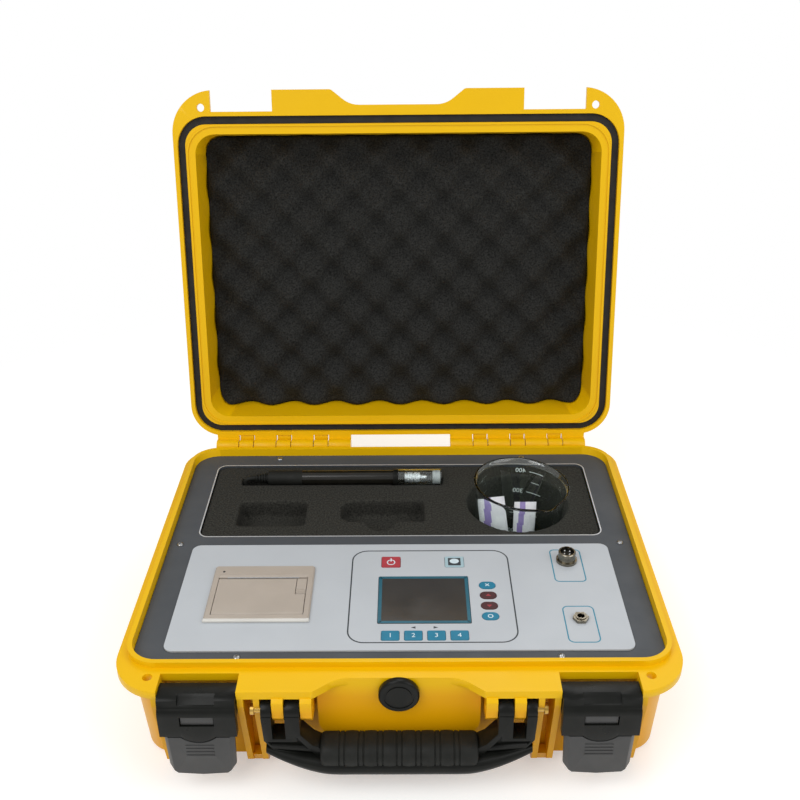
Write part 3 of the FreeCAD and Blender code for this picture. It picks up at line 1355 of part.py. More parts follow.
def latch_tab(x):
    """The grey release tab: a faceted grip with ridges, a neck behind the window, a pivot rod."""
    y, z = s.barrel_y, s.barrel_z
    front = y - s.barrel_radius
    top = z - s.latch_drop - s.tab_gap
    low = z - s.tab_drop
    half = s.tab_width / 2
    face = [Vector(x - half, front, top), Vector(x - half + 1, front, low + 8), Vector(x - half + 7, front, low + 1.5),
            Vector(x, front, low), Vector(x + half - 7, front, low + 1.5), Vector(x + half - 1, front, low + 8),
            Vector(x + half, front, top)]
    grip = prism(face, Vector(0, s.tab_thick - 0.8, 0))
    sides = [e for e in grip.Edges if all(abs(v.Y - front) < 1e-6 and abs(v.X - x) > half - 1.1 for v in e.Vertexes)
             and abs(e.Vertexes[0].Z - e.Vertexes[-1].Z) > s.tab_facet]
    grip = grip.makeChamfer(s.tab_facet, sides)
    grip = grip.cut(latch_lobe(x, s.tab_gap, s.lobe_thick + s.lobe_room))
    ridges = []
    for number in range(4):
        ridge_top = top - s.lobe_drop - 2 * s.tab_gap - number * s.ridge_pitch
        ridges.append(box((x - s.ridge_width / 2, front - s.ridge_rise, ridge_top - s.ridge_tall),
                          (x + s.ridge_width / 2, front + 1, ridge_top)))
    pivot_y, pivot_z = y - s.tab_pivot_setback, z - s.tab_pivot_drop
    neck = box((x - s.tab_neck / 2, pivot_y, top - 6),
               (x + s.tab_neck / 2, pivot_y + s.tab_pivot_radius, pivot_z + 2 * s.tab_pivot_radius))
    lever = cross_rod(s.tab_pivot_radius, x - s.latch_width / 2 + 3.5, x + s.latch_width / 2 - 3.5,
                      pivot_y, pivot_z)
    return grip.fuse([neck, lever] + ridges).removeSplitter()


for side, sign in SIDES.items():
    centre = sign * s.latch_gap_centre
    coded("latch_body_" + side, latch_body(centre))
    coded("latch_link_" + side, latch_link(centre))
    coded("latch_tab_" + side, latch_tab(centre))
latch_pin = "latch_gap + 2 * rib_thick"
keep(group("LatchPins",
           rod("LatchPinRight", "link_pin_radius", latch_pin, "gap_inner - rib_thick", "link_y", "link_z", "x"),
           rod("LatchPinLeft", "link_pin_radius", latch_pin, "-gap_outer - rib_thick", "link_y", "link_z", "x")),
     "latch_pins")


# ---------------------------------------------------------------- pressure valve

def valve_knob():
    """The round cap with a pressed ring in its face, on the valve's spindle."""
    face_y = s.pad_face - s.knob_gap
    knob = Part.makeCylinder(s.knob_radius, s.knob_thick, Vector(0, face_y, s.valve_z), Vector(0, -1, 0))
    knob = knob.makeChamfer(1.2, [e for e in knob.Edges if abs(e.CenterOfMass.y - face_y + s.knob_thick) < 1e-6])
    front = Vector(0, face_y - s.knob_thick, s.valve_z)
    ring = Part.makeCylinder(s.knob_radius * 0.74, 0.6, front, Vector(0, 1, 0))
    ring = ring.cut(Part.makeCylinder(s.knob_radius * 0.62, 0.6, front, Vector(0, 1, 0)))
    bore = Part.makeCylinder(s.spindle_radius + s.pin_fit, s.spindle_length, Vector(0, face_y, s.valve_z),
                             Vector(0, -1, 0))
    return knob.cut([ring, bore])


coded("valve_knob", valve_knob())
keep(joined("ValveBodyParts",
            rod("ValveStem", "valve_radius", "valve_depth", "0", "pad_face + valve_depth - knob_gap / 2",
                "valve_z", "y"),
            rod("ValveSpindle", "spindle_radius", "valve_depth + spindle_length", "0",
                "pad_face + valve_depth - knob_gap / 2", "valve_z", "y")), "valve_body")
keep(cut("ValveSealRing",
         rod("SealOuter", "knob_radius - 2", "knob_gap / 2", "0", "pad_face", "valve_z", "y"),
         rod("SealBore", "valve_radius + pin_fit", "knob_gap / 2", "0", "pad_face", "valve_z", "y")), "valve_seal")


# ---------------------------------------------------------------- check and write

doc.recompute()
os.makedirs("parts", exist_ok=True)
faults = [item.Label for item in doc.Objects if {"Invalid", "Error"} & set(item.State)]
for piece in nodes:
    if piece.Shape.isNull() or not piece.Shape.isValid() or not piece.Shape.Solids:
        faults.append(piece.Label)
if faults:
    raise RuntimeError("these objects failed: " + ", ".join(faults))
for piece in nodes:
    piece.Shape.exportStep(f"parts/{piece.Label}.step")
    print(piece.Label, len(piece.Shape.Solids), round(piece.Shape.Volume, 1))
print(len(nodes), "nodes")
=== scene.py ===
import json
import math

import bmesh
import bpy
from mathutils import Matrix, Vector


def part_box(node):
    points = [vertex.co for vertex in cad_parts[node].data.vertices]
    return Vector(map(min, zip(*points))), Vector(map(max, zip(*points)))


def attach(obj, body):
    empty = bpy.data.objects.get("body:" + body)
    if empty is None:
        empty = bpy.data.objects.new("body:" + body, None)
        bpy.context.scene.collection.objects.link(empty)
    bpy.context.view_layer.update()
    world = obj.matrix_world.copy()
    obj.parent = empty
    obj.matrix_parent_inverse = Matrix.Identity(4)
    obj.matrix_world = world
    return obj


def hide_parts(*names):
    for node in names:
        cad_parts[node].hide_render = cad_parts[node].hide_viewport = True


# Looks of a portable density meter in its carry case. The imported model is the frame: metres,
# +Z up, the front of the case at -Y. Sizes below are in millimetres and are made metres by MM.

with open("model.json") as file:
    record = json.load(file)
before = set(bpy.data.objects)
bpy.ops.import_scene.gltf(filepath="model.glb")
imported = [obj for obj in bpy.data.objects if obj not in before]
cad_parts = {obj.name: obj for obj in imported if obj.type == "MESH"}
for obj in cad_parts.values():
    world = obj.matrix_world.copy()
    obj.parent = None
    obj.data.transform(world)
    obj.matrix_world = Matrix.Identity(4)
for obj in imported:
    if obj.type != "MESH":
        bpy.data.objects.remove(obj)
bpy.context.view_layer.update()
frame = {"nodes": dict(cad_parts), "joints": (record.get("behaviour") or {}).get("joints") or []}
nodes = frame["nodes"]

MM = 0.001
PANEL_TOP = 90.0  # the grey panel's upper face
PLATE_TOP = 91.2  # the pale faceplate's, which lies on the panel
INK = 0.04  # how far print stands up


# ---------------------------------------------------------------- modelling

def alone(piece=None):
    """Select one piece or none, so that an operator acts on nothing else."""
    bpy.ops.object.select_all(action="DESELECT")
    bpy.context.view_layer.objects.active = piece
    if piece is not None:
        piece.select_set(True)


def edit():
    """Open the active piece's mesh, with all of it selected."""
    bpy.ops.object.mode_set(mode="EDIT")
    bpy.ops.mesh.select_all(action="SELECT")


def done():
    """Close the mesh."""
    bpy.ops.object.mode_set(mode="OBJECT")


def resize(x, y, z=1, height=0):
    """Scale the selected part of the mesh about the Z axis, from a height in mm."""
    bpy.ops.transform.resize(value=(x, y, z), center_override=(0, 0, height * MM))


def extrude(height):
    """Draw the selected part of the mesh up by a height in mm."""
    bpy.ops.mesh.extrude_region_move(TRANSFORM_OT_translate={"value": (0, 0, height * MM)})


def modify(piece, kind, **settings):
    """Finish a piece with one modifier, and apply it."""
    alone(piece)
    made = piece.modifiers.new(kind.lower(), kind)
    for name, value in settings.items():
        setattr(made, name, value)
    bpy.ops.object.modifier_apply(modifier=made.name)


def rounded(piece, width, segments=2, angle=30, **settings):
    """Round a piece's edges that are sharper than an angle in degrees."""
    modify(piece, "BEVEL", width=width * MM, segments=segments, angle_limit=math.radians(angle),
           **settings)


def choose(piece, test):
    """Select the faces of the open mesh whose normal passes a test."""
    bpy.ops.mesh.select_mode(type="FACE")
    bpy.ops.mesh.select_all(action="DESELECT")
    mesh = bmesh.from_edit_mesh(piece.data)
    for face in mesh.faces:
        face.select_set(test(face.normal))
    bmesh.update_edit_mesh(piece.data)


def moved(x, y, z):
    """A move, given in mm."""
    return Matrix.Translation(Vector((x, y, z)) * MM)


def spun(angle, axis):
    """A turn in degrees about an axis through the origin."""
    return Matrix.Rotation(math.radians(angle), 4, axis)


def opened():
    """The turn that takes the closed lid to where it stands open."""
    hinge = next(joint for joint in frame["joints"] if joint["name"] == "lid_hinge")
    pivot = Vector(hinge["pos_m"])
    swing = Matrix.Rotation(-math.radians(hinge["range_deg"][1]), 4, Vector(hinge["axis"]))
    return Matrix.Translation(pivot) @ swing @ Matrix.Translation(-pivot)


def on_top(node):
    """The middle of a node's upper face, in mm."""
    low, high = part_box(node)
    return (low[0] + high[0]) / 2 / MM, (low[1] + high[1]) / 2 / MM, high[2] / MM


def settle(piece, name, finish, body, turn=None, smooth=35):
    """Finish a piece: outward faces, smooth curves, its place in its mesh, and the body it rides."""
    alone(piece)
    edit()
    bpy.ops.mesh.normals_make_consistent(inside=False)
    done()
    if turn is not None:
        piece.matrix_world = turn @ piece.matrix_world
    bpy.ops.object.transform_apply(location=True, rotation=True, scale=True)
    bpy.ops.object.shade_smooth_by_angle(angle=math.radians(smooth))
    piece.name = name
    piece.data.materials.clear()
    piece.data.materials.append(finish)
    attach(piece, body)
    return piece


def draw_up(stations):
    """Draw the selected section up through stations, each a width and a height in mm."""
    width, height = stations[0]
    for next_width, next_height in stations[1:]:
        extrude(next_height - height)
        ratio = next_width / width
        resize(ratio, ratio)
        width, height = next_width, next_height


def turned(stations, sides=48):
    """A piece turned on a lathe about Z, through stations of radius and height in mm."""
    alone()
    radius, height = stations[0]
    bpy.ops.mesh.primitive_circle_add(vertices=sides, radius=radius * MM, fill_type="NGON",
                                      location=(0, 0, height * MM))
    piece = bpy.context.object
    bpy.ops.object.transform_apply(location=True)
    edit()
    draw_up(stations)
    done()
    return piece


def oblong(width, depth, corner, stations):
    """A piece of rounded oblong section drawn up through stations of share and height."""
    share, height = stations[0]
    alone()
    bpy.ops.mesh.primitive_plane_add(size=MM, location=(0, 0, height * MM))
    piece = bpy.context.object
    bpy.ops.object.transform_apply(location=True)
    edit()
    resize(width, depth)
    bpy.ops.mesh.bevel(offset=corner * MM, segments=6, affect="VERTICES")
    bpy.ops.mesh.select_all(action="SELECT")
    resize(share, share)
    draw_up(stations)
    done()
    return piece


def block(low, high):
    """A block between two corners, given in mm."""
    alone()
    bpy.ops.mesh.primitive_cube_add(size=1)
    piece = bpy.context.object
    piece.location = [(a + b) / 2 * MM for a, b in zip(low, high)]
    piece.scale = [(b - a) * MM for a, b in zip(low, high)]
    bpy.ops.object.transform_apply(location=True, scale=True)
    return piece


def sheet(width, depth, columns, rows):
    """A flat grid of faces about the origin, its sides given in mm."""
    alone()
    bpy.ops.mesh.primitive_grid_add(x_subdivisions=columns, y_subdivisions=rows, size=MM)
    edit()
    resize(width, depth)
    done()
    return bpy.context.object


def twin(piece):
    """A copy of a piece with a mesh of its own."""
    alone()
    made = piece.copy()
    made.data = piece.data.copy()
    made.parent = None
    bpy.context.collection.objects.link(made)
    return made


def copied(node):
    """A merged copy of a CAD node, to be finished by hand."""
    piece = twin(nodes[node])
    modify(piece, "WELD", merge_threshold=0.02 * MM)
    return piece


def together(*parts):
    """Join pieces into the first."""
    alone(parts[0])
    for part in parts:
        part.select_set(True)
    bpy.ops.object.join()
    return parts[0]


def soften(width, *names):
    """Break the sharp edges of moulded or milled CAD nodes."""
    for name in names:
        piece = nodes[name]
        weld = piece.modifiers.new("weld", "WELD")
        weld.merge_threshold = 0.01 * MM
        edge = piece.modifiers.new("edge", "BEVEL")
        edge.width = width * MM
        edge.segments = 2
        edge.angle_limit = math.radians(40)
        edge.harden_normals = True
        edge.miter_outer = "MITER_ARC"


# ---------------------------------------------------------------- print

def printed_line(name, finish, low, high, corner, line, z, body="case", rise=INK, turn=None):
    """A closed line round a rounded oblong: ink, or a bead where it has more rise."""
    alone()
    bpy.ops.mesh.primitive_plane_add(size=MM)
    piece = bpy.context.object
    edit()
    resize(high[0] - low[0], high[1] - low[1])
    bpy.ops.mesh.bevel(offset=corner * MM, segments=8, affect="VERTICES")
    bpy.ops.mesh.select_all(action="SELECT")
    bpy.ops.mesh.inset(thickness=line * MM, use_boundary=True)
    bpy.ops.mesh.delete(type="FACE")
    done()
    modify(piece, "SOLIDIFY", thickness=rise * MM, offset=1)
    place = moved((low[0] + high[0]) / 2, (low[1] + high[1]) / 2, z)
    if turn is not None:
        place = turn @ place
    return settle(piece, name, finish, body, place)


def letterform(text, size, smoothness=4):
    """A plain number or sign, as thin as print, about the origin."""
    alone()
    bpy.ops.object.text_add()
    piece = bpy.context.object
    piece.data.body = text
    piece.data.size = size * MM
    piece.data.align_x = "CENTER"
    piece.data.align_y = "CENTER"
    piece.data.extrude = INK / 2 * MM
    piece.data.resolution_u = smoothness
    bpy.ops.object.convert(target="MESH")
    return bpy.context.object


def printed_text(name, finish, body, text, size, x, y, z):
    """A printed mark made from a letterform."""
    return settle(letterform(text, size), name, finish, body, moved(x, y, z + INK / 2))


def printed_shape(name, finish, body, corners, width, depth, x, y, z, turn=0):
    """A printed patch: a triangle with three corners, an oval with many."""
    alone()
    bpy.ops.mesh.primitive_circle_add(vertices=corners, radius=0.5 * MM, fill_type="NGON")
    piece = bpy.context.object
    piece.rotation_euler = (0, 0, math.radians(turn))
    bpy.ops.object.transform_apply(rotation=True)
    edit()
    resize(width, depth)
    extrude(INK)
    done()
    return settle(piece, name, finish, body, moved(x, y, z))


# ---------------------------------------------------------------- materials

def linear(text):
    """A colour written as sRGB hex, as linear RGBA."""
    channels = [int(text[i:i + 2], 16) / 255 for i in (1, 3, 5)]
    return [c / 12.92 if c <= 0.04045 else ((c + 0.055) / 1.055) ** 2.4 for c in channels] + [1.0]


def add(tree, kind, inputs=None, **settings):
    """Add a shader node. Each input is a value, or the socket that feeds it."""
    made = tree.nodes.new("ShaderNode" + kind)
    for name, value in settings.items():
        setattr(made, name, value)
    for name, value in (inputs or {}).items():
        if isinstance(value, bpy.types.NodeSocket):
            tree.links.new(value, made.inputs[name])
        else:
            made.inputs[name].default_value = value
    return made


def blank(name):
    """A new material, and its node tree with nothing in it."""
    material = bpy.data.materials.new(name)
    material.use_nodes = True
    material.node_tree.nodes.clear()
    return material, material.node_tree


def patchy(tree, place, size, detail, low=0.0, high=1.0):
    """A value between low and high that follows a noise, in patches of a size in mm."""
    noise = add(tree, "TexNoise", {"Vector": place, "Scale": 1 / (size * MM), "Detail": detail})
    return add(tree, "MapRange", {0: noise.outputs[0], 1: 0.3, 2: 0.7, 3: low, 4: high}).outputs[0]


def mix(tree, share, first, second):
    """A blend of two colours."""
    return add(tree, "Mix", {0: share, 6: first, 7: second}, data_type="RGBA").outputs[2]


def surface(name, tones, gloss, relief, metallic=0.0, low=None, **sockets):
    """A material whose colour, roughness and bump each follow a noise of a real size.

    tones is two hex colours and the size of their patches in mm, gloss two roughnesses and their
    patches' size, relief the depth and the width of the grain, both in mm. low, for painted shade,
    is a hex colour for the lower part, and the heights in mm between which it fades in.
    """
    light, dark, patch = tones
    smooth, rough, smear = gloss
    depth, grain = relief
    material, tree = blank(name)
    place = add(tree, "TexCoord").outputs["Object"]
    tone = mix(tree, patchy(tree, place, patch, 3.0), linear(light), linear(dark))
    # Painted shade: below the given heights the colour fades to the low colour.
    if low is not None:
        colour, top, bottom = low
        height = add(tree, "SeparateXYZ", {0: place}).outputs[2]
        fade = add(tree, "MapRange", {0: height, 1: bottom * MM, 2: top * MM, 3: 1.0, 4: 0.0})
        tone = mix(tree, fade.outputs[0], tone, linear(colour))
    roughness = patchy(tree, place, smear, 4.0, smooth, rough)
    bumps = add(tree, "TexNoise", {"Vector": place, "Scale": 1 / (grain * MM), "Detail": 2.0})
    bump = add(tree, "Bump", {"Height": bumps.outputs[0], "Distance": depth * MM, "Strength": 1.0})
    shader = add(tree, "BsdfPrincipled", {"Base Color": tone, "Roughness": roughness,
                                          "Metallic": metallic, "Normal": bump.outputs[0]})
    for socket, value in sockets.items():
        shader.inputs[socket.replace("_", " ")].default_value = value
    add(tree, "OutputMaterial", {"Surface": shader.outputs[0]})
    return material


# Polypropylene, injection moulded: an even strong yellow with a soft shine and a fine orange peel.
case_plastic = surface("Polypropylene moulded yellow", ("#F0BE00", "#EDBA00", 60), (0.34, 0.44, 35),
                       (0.012, 1.1), Specular_IOR_Level=0.28)
# The same for the base, with painted shade: its yellow turns to orange below the rim.
shade_painted_wall_plastic = surface("Polypropylene moulded yellow, shade painted on base walls", ("#F0BE00", "#EDBA00", 60),
                       (0.34, 0.44, 35), (0.012, 1.1), low=("#EAA800", 86, 74), Specular_IOR_Level=0.24)
# Aluminium sheet, powder coated dark grey: matt, with a fine even grit.
coated_sheet = surface("Aluminium powder coated grey", ("#4A4E53", "#45494E", 40), (0.5, 0.62, 20),
                       (0.03, 0.5))
# Polycarbonate overlay, silk matt: pale cool grey with almost no shine.
overlay_film = surface("Polycarbonate overlay grey", ("#BFC4C9", "#BABFC4", 50), (0.45, 0.55, 25),
                       (0.008, 0.4))
# Polyamide with glass fibre, moulded black: half matt, faintly mottled.
black_nylon = surface("Polyamide moulded black", ("#121311", "#181916", 12), (0.26, 0.38, 18),
                      (0.02, 0.7), Specular_IOR_Level=0.17)
# ABS, polished black: the probe's tube, with a clear highlight along it.
probe_abs = surface("ABS polished black", ("#15140F", "#1C1A15", 10), (0.12, 0.2, 14), (0.004, 0.8))
# Polyamide moulded dark grey, a little lighter and smoother.
grey_nylon = surface("Polyamide moulded grey", ("#3A3A3A", "#343434", 14), (0.36, 0.48, 18),
                     (0.015, 0.8))
# Thermoplastic rubber over the handle: very matt, dusty black.
grip_rubber = surface("Thermoplastic rubber black", ("#161714", "#1D1E1B", 9), (0.55, 0.7, 12),
                      (0.05, 0.8), Specular_IOR_Level=0.25)
# Neoprene cord for the lid's seal: soft, matt black.
seal_rubber = surface("Neoprene cord black", ("#161616", "#1E1E1E", 8), (0.6, 0.75, 10), (0.04, 1.0))
# ABS, moulded warm grey: the printer's frame and door.
printer_abs = surface("ABS moulded warm grey", ("#B3A89C", "#ADA296", 25), (0.42, 0.52, 16),
                      (0.02, 0.6))
# The same ABS painted paler as a highlight: the printer's front lip, where the light catches it.
printer_highlight_abs = surface("ABS moulded grey, painted highlight", ("#DAD8D2", "#D3D1CB", 25), (0.3, 0.42, 16),
                       (0.01, 0.6))
# Stainless steel, turned or rolled, with a light haze.
stainless = surface("Stainless steel satin", ("#B9BABB", "#A8A9AA", 6), (0.24, 0.36, 4),
                    (0.004, 0.3), 1.0)
# Brass, turned: warm, lightly tarnished.
turned_brass = surface("Brass turned", ("#C9A55A", "#B58F45", 5), (0.26, 0.4, 3), (0.004, 0.3), 1.0)
# Nickel plate over brass: warmer than steel; its darker tone and strong mottle are painted reflections
# of a dark surround.
nickel_with_painted_reflection = surface("Nickel plate", ("#969082", "#6F6A60", 3), (0.2, 0.32, 3), (0.003, 0.3), 1.0)
# Aluminium, milled and left bare: pale, with a fine shine.
bare_aluminium = surface("Aluminium milled", ("#BFC1C3", "#B0B2B4", 5), (0.3, 0.42, 3), (0.004, 0.3),
                         1.0)
# Aluminium where the sheet is cut: bright, uncoated, brushed along the edge.
cut_edge = surface("Aluminium cut edge", ("#D6D7D8", "#C6C7C9", 3), (0.35, 0.5, 3), (0.004, 0.3), 0.3)
# Open-cell polyurethane foam: dull near-black with cells about a millimetre across.
open_foam = surface("Polyurethane foam charcoal", ("#343432", "#121211", 1.5), (0.9, 1.0, 8),
                    (0.5, 1.3),
                    Specular_IOR_Level=0.2)
# The same foam where a blade has cut it: the open cells are a little greyer.
cut_foam = surface("Polyurethane foam cut", ("#403F3A", "#20201D", 1.5), (0.9, 1.0, 8), (0.5, 1.3),
                   Specular_IOR_Level=0.2)
# FR-4 board with green solder mask: a half glossy deep green.
board_laminate = surface("FR4 laminate green", ("#1F5A38", "#194D2F", 12), (0.25, 0.4, 10), (0.01, 1.2))
# Thermal paper on its roll: smooth and a little warm.
thermal_paper = surface("Thermal paper", ("#F2F0EA", "#ECE9E2", 15), (0.55, 0.65, 12), (0.01, 0.5))
# Vinyl shrunk round the cells: half glossy blue with slight ripples.
cell_wrap = surface("Vinyl wrap blue", ("#27407A", "#223A70", 15), (0.3, 0.42, 12), (0.02, 2.0))
# Key films, printed from behind: flat even colours with a half matt face.
key_red = surface("Polycarbonate film red", ("#B23A44", "#A8343E", 9), (0.42, 0.52, 8), (0.01, 0.5))
key_teal = surface("Polycarbonate film teal", ("#0E7C9C", "#0C7391", 9), (0.42, 0.52, 8), (0.01, 0.5))
key_pale = surface("Polycarbonate film pale blue", ("#A9C4CC", "#A2BDC6", 9), (0.42, 0.52, 8),
                   (0.01, 0.5))
key_dark = surface("Polycarbonate film maroon", ("#4A1C22", "#421A1F", 9), (0.42, 0.52, 8), (0.01, 0.5))
# Screen-printing inks: flat colours, a little drier than the film they lie on.
dark_ink = surface("Printing ink dark grey", ("#3A3F44", "#34393E", 6), (0.5, 0.6, 5), (0.004, 0.4))
teal_ink = surface("Printing ink teal", ("#3E8CA5", "#38849C", 6), (0.5, 0.6, 5), (0.004, 0.4))
pale_ink = surface("Printing ink pale", ("#DCEAF0", "#D2E2E9", 6), (0.5, 0.6, 5), (0.004, 0.4))
red_ink = surface("Printing ink red", ("#A33A44", "#97343D", 6), (0.5, 0.6, 5), (0.004, 0.4))
teal_frame = surface("Printing ink deep teal", ("#1B6478", "#175A6D", 14), (0.3, 0.42, 8), (0.004, 0.4))
# Polyethylene film round cotton: white, crinkled, half glossy, with a violet printed band.
sachet_film = surface("Polyethylene film white", ("#EDEBEE", "#DFDCE3", 7), (0.25, 0.4, 6), (0.25, 2.5))
sachet_band = surface("Polyethylene film violet", ("#9A88BE", "#8B78B2", 7), (0.25, 0.4, 6),
                      (0.25, 2.5))
# Platinised cell: pale silver, slightly frosted.
cell_silver = surface("Platinised electrode", ("#E6E7E8", "#CFD1D3", 3), (0.22, 0.34, 2),
                      (0.01, 0.5), 0.6)
# Polyethylene foam pad: milky and matt.
frosted_pad = surface("Polyethylene pad milky", ("#A9ABAA", "#9EA09F", 3), (0.5, 0.65, 3), (0.05, 0.8))
# White glass enamel, fired on: opaque, half glossy.
white_enamel = surface("Glass enamel white", ("#E9ECEC", "#DDE1E1", 5), (0.35, 0.5, 4), (0.01, 0.4))
# Display window: polycarbonate over a dark grey reflective glass cell.
display_film = surface("Polycarbonate window smoke", ("#413F3E", "#3B3A39", 30), (0.12, 0.2, 20),
                       (0.002, 1.0))


def clear(name, tint, roughness, ior):
    """A clear solid: only its edges and reflections show, and it casts a light shadow."""
    material, tree = blank(name)
    glass = add(tree, "BsdfPrincipled", {"Base Color": linear(tint), "Roughness": roughness, "IOR": ior,
                                         "Transmission Weight": 1.0})
    ghost = add(tree, "BsdfTransparent", {"Color": linear(tint)})
    shade = add(tree, "LightPath")
    mixed = add(tree, "MixShader", {0: shade.outputs["Is Shadow Ray"], 1: glass.outputs[0],
                                    2: ghost.outputs[0]})
    add(tree, "OutputMaterial", {"Surface": mixed.outputs[0]})
    return material


# Borosilicate glass: colourless, faintly green at its thick edges.
borosilicate = clear("Borosilicate glass", "#F4FAF8", 0.0, 1.473)
# Acrylic tube: clear, slightly scuffed.
acrylic = clear("Acrylic clear", "#EEF3F3", 0.06, 1.49)

# What each CAD node is made of, also where a piece further down stands for it.
FINISHES = {
    shade_painted_wall_plastic: ["base_shell"],
    case_plastic: ["lid_shell"],
    coated_sheet: ["panel_plate"],
    overlay_film: ["faceplate"],
    black_nylon: ["handle_frame", "latch_body_left", "latch_body_right", "latch_link_left",
                  "latch_link_right", "valve_knob", "probe_collar", "input_insert",
                  "printer_housing", "probe_cell"],
    probe_abs: ["probe_body"],
    grey_nylon: ["latch_tab_left", "latch_tab_right"],
    grip_rubber: ["handle_grip", "probe_grip", "probe_boot", "probe_lead", "platen_roller",
                  "valve_seal"],
    seal_rubber: ["lid_gasket"],
    printer_abs: ["printer_bezel", "printer_door", "door_lever"],
    stainless: ["hinge_pins", "panel_screws", "battery_bracket", "latch_pins", "printer_door_pin"],
    turned_brass: ["handle_pins", "board_standoffs", "valve_body"],
    nickel_with_painted_reflection: ["power_jack", "power_nut", "input_socket", "input_nut"],
    bare_aluminium: ["print_head"],
    open_foam: ["foam_insert", "lid_foam"],
    board_laminate: ["display_module", "keypad_board", "main_board"],
    thermal_paper: ["paper_roll"],
    cell_wrap: ["battery_pack"],
    key_red: ["key_power"],
    key_pale: ["key_light"],
    key_dark: ["key_up", "key_down"],
    key_teal: ["key_escape", "key_enter", "key_f1", "key_f2", "key_f3", "key_f4"],
    display_film: ["display_window"],
    borosilicate: ["beaker"],
    acrylic: ["probe_cap"],
}
for finish, names in FINISHES.items():
    for name in names:
        nodes[name].data.materials.clear()
        nodes[name].data.materials.append(finish)


# ---------------------------------------------------------------- foam

BEAKER_POCKET = (104, 64.606)  # the middle of the tray's round pocket


def lid_foam():
    """Convoluted foam filling the lid: rounded peaks and dips, cut off at a wavy edge."""
    half_x, half_y, corner = 180.6, 129.9, 18.0
    back = 139.6  # the flat side against the lid
    depth, swing, pitch = 13.4, 6.8, 43.0  # the waves, measured from the back
    edge_lift, edge_width = 2.2, 3.0
    piece = sheet(2 * half_x, 2 * half_y, 150, 108)
    for vertex in piece.data.vertices:
        x, y = vertex.co.x / MM, vertex.co.y / MM
        over = Vector((max(abs(x) - half_x + corner, 0), max(abs(y) - half_y + corner, 0)))
        if over.length > corner and over.x > 0 and over.y > 0:
            over = over.normalized() * corner
            x = math.copysign(half_x - corner + over.x, x)
            y = math.copysign(half_y - corner + over.y, y)
        wave = math.cos(2 * math.pi * x / pitch) * math.cos(2 * math.pi * y / pitch)
        edge = min(half_x - abs(x), half_y - abs(y))
        soft = edge_lift * max(0.0, 1 - edge / edge_width) ** 2
        vertex.co = Vector((x, y, back - depth - swing * wave + soft)) * MM
    edit()
    bpy.ops.mesh.region_to_loop()
    bpy.ops.mesh.extrude_region_move()
    resize(1, 1, 0, back)
    bpy.ops.mesh.edge_face_add()
    done()
    settle(piece, "lid_foam_mat", open_foam, "lid", opened(), smooth=60)
    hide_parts("lid_foam")


def foam_insert():
    """The cut foam in the tray, its edges a little soft and uneven, and a disc under the beaker."""
    piece = copied("foam_insert")
    modify(piece, "REMESH", mode="VOXEL", voxel_size=1.7 * MM)
    modify(piece, "SMOOTH", factor=0.5, iterations=3)
    settle(piece, "foam_tray", cut_foam, "case", smooth=80)
    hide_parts("foam_insert")
    floor = turned([(43.0, 4.02), (43.4, 4.06), (43.4, 4.12), (42.6, 4.16)])
    settle(floor, "foam_floor", cut_foam, "case", moved(*BEAKER_POCKET, 0))


# ---------------------------------------------------------------- beaker

GLASS_RADIUS, GLASS_TALL, GLASS_WALL = 39.5, 103.0, 1.5
LEAN = 4  # degrees, with its top to the right in the pocket
FOOT_SHIFT = GLASS_TALL / 2 * math.sin(math.radians(LEAN))
BEAKER_FOOT = moved(BEAKER_POCKET[0] - FOOT_SHIFT, BEAKER_POCKET[1], 6.4) @ spun(LEAN, "Y")


def beaker():
    """A low-form beaker: one blown wall, a rolled rim drawn out to a spout."""
    outer, inner, tall = GLASS_RADIUS, GLASS_RADIUS - GLASS_WALL, GLASS_TALL
    outside = [(26, 0.5), (30, 0.1), (33.5, 0.2), (36.8, 1.8), (38.9, 4.6), (outer, 8.5), (outer, 50)]
    rim = [(outer, tall - 7), (40.2, tall - 4), (41.4, tall - 2.2), (42.3, tall - 1.4),
           (42.4, tall - 0.6), (41.9, tall - 0.1), (41.0, tall - 0.3), (39.6, tall - 2.2),
           (38.6, tall - 4.5), (inner, tall - 7.5)]
    inside = [(inner, 50), (inner, 8.8), (37.2, 5.4), (35.2, 3.0), (32, 1.8),
              (26, 1.7 + GLASS_WALL / 4)]
    piece = turned(outside + rim + inside, sides=72)
    spout_angle, spout_spread, spout_tall, spout_reach = math.radians(-62), 0.2, 11, 3.4
    droop, lip_tall = 1.6, 2.6
    for vertex in piece.data.vertices:
        x, y, z = vertex.co / MM
        radius = math.hypot(x, y)
        turn = math.atan2(y, x) - spout_angle
        turn = math.atan2(math.sin(turn), math.cos(turn))
        lift = max(0.0, (z - tall + spout_tall) / spout_tall) ** 1.6
        lift = math.exp(-(turn / spout_spread) ** 2) * lift
        reach = (radius + spout_reach * lift) / radius
        fall = droop * lift * (z > tall - lip_tall)
        vertex.co = Vector((x * reach, y * reach, z - fall)) * MM
    settle(piece, "beaker_glass", borosilicate, "beaker", BEAKER_FOOT, smooth=60)
    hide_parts("beaker")


def wrapped(piece, name, angle, height):
    """Lay flat print round the beaker's wall, just clear of the glass."""
    clearance = 0.03 * MM
    modify(piece, "SUBSURF", subdivision_type="SIMPLE", levels=1, render_levels=1)
    for vertex in piece.data.vertices:
        x, y, z = vertex.co
        turn = x / (GLASS_RADIUS * MM) + math.radians(angle)
        radius = GLASS_RADIUS * MM + z + clearance
        vertex.co = Vector((radius * math.cos(turn), radius * math.sin(turn), y + height * MM))
    settle(piece, name, white_enamel, "beaker", BEAKER_FOOT)


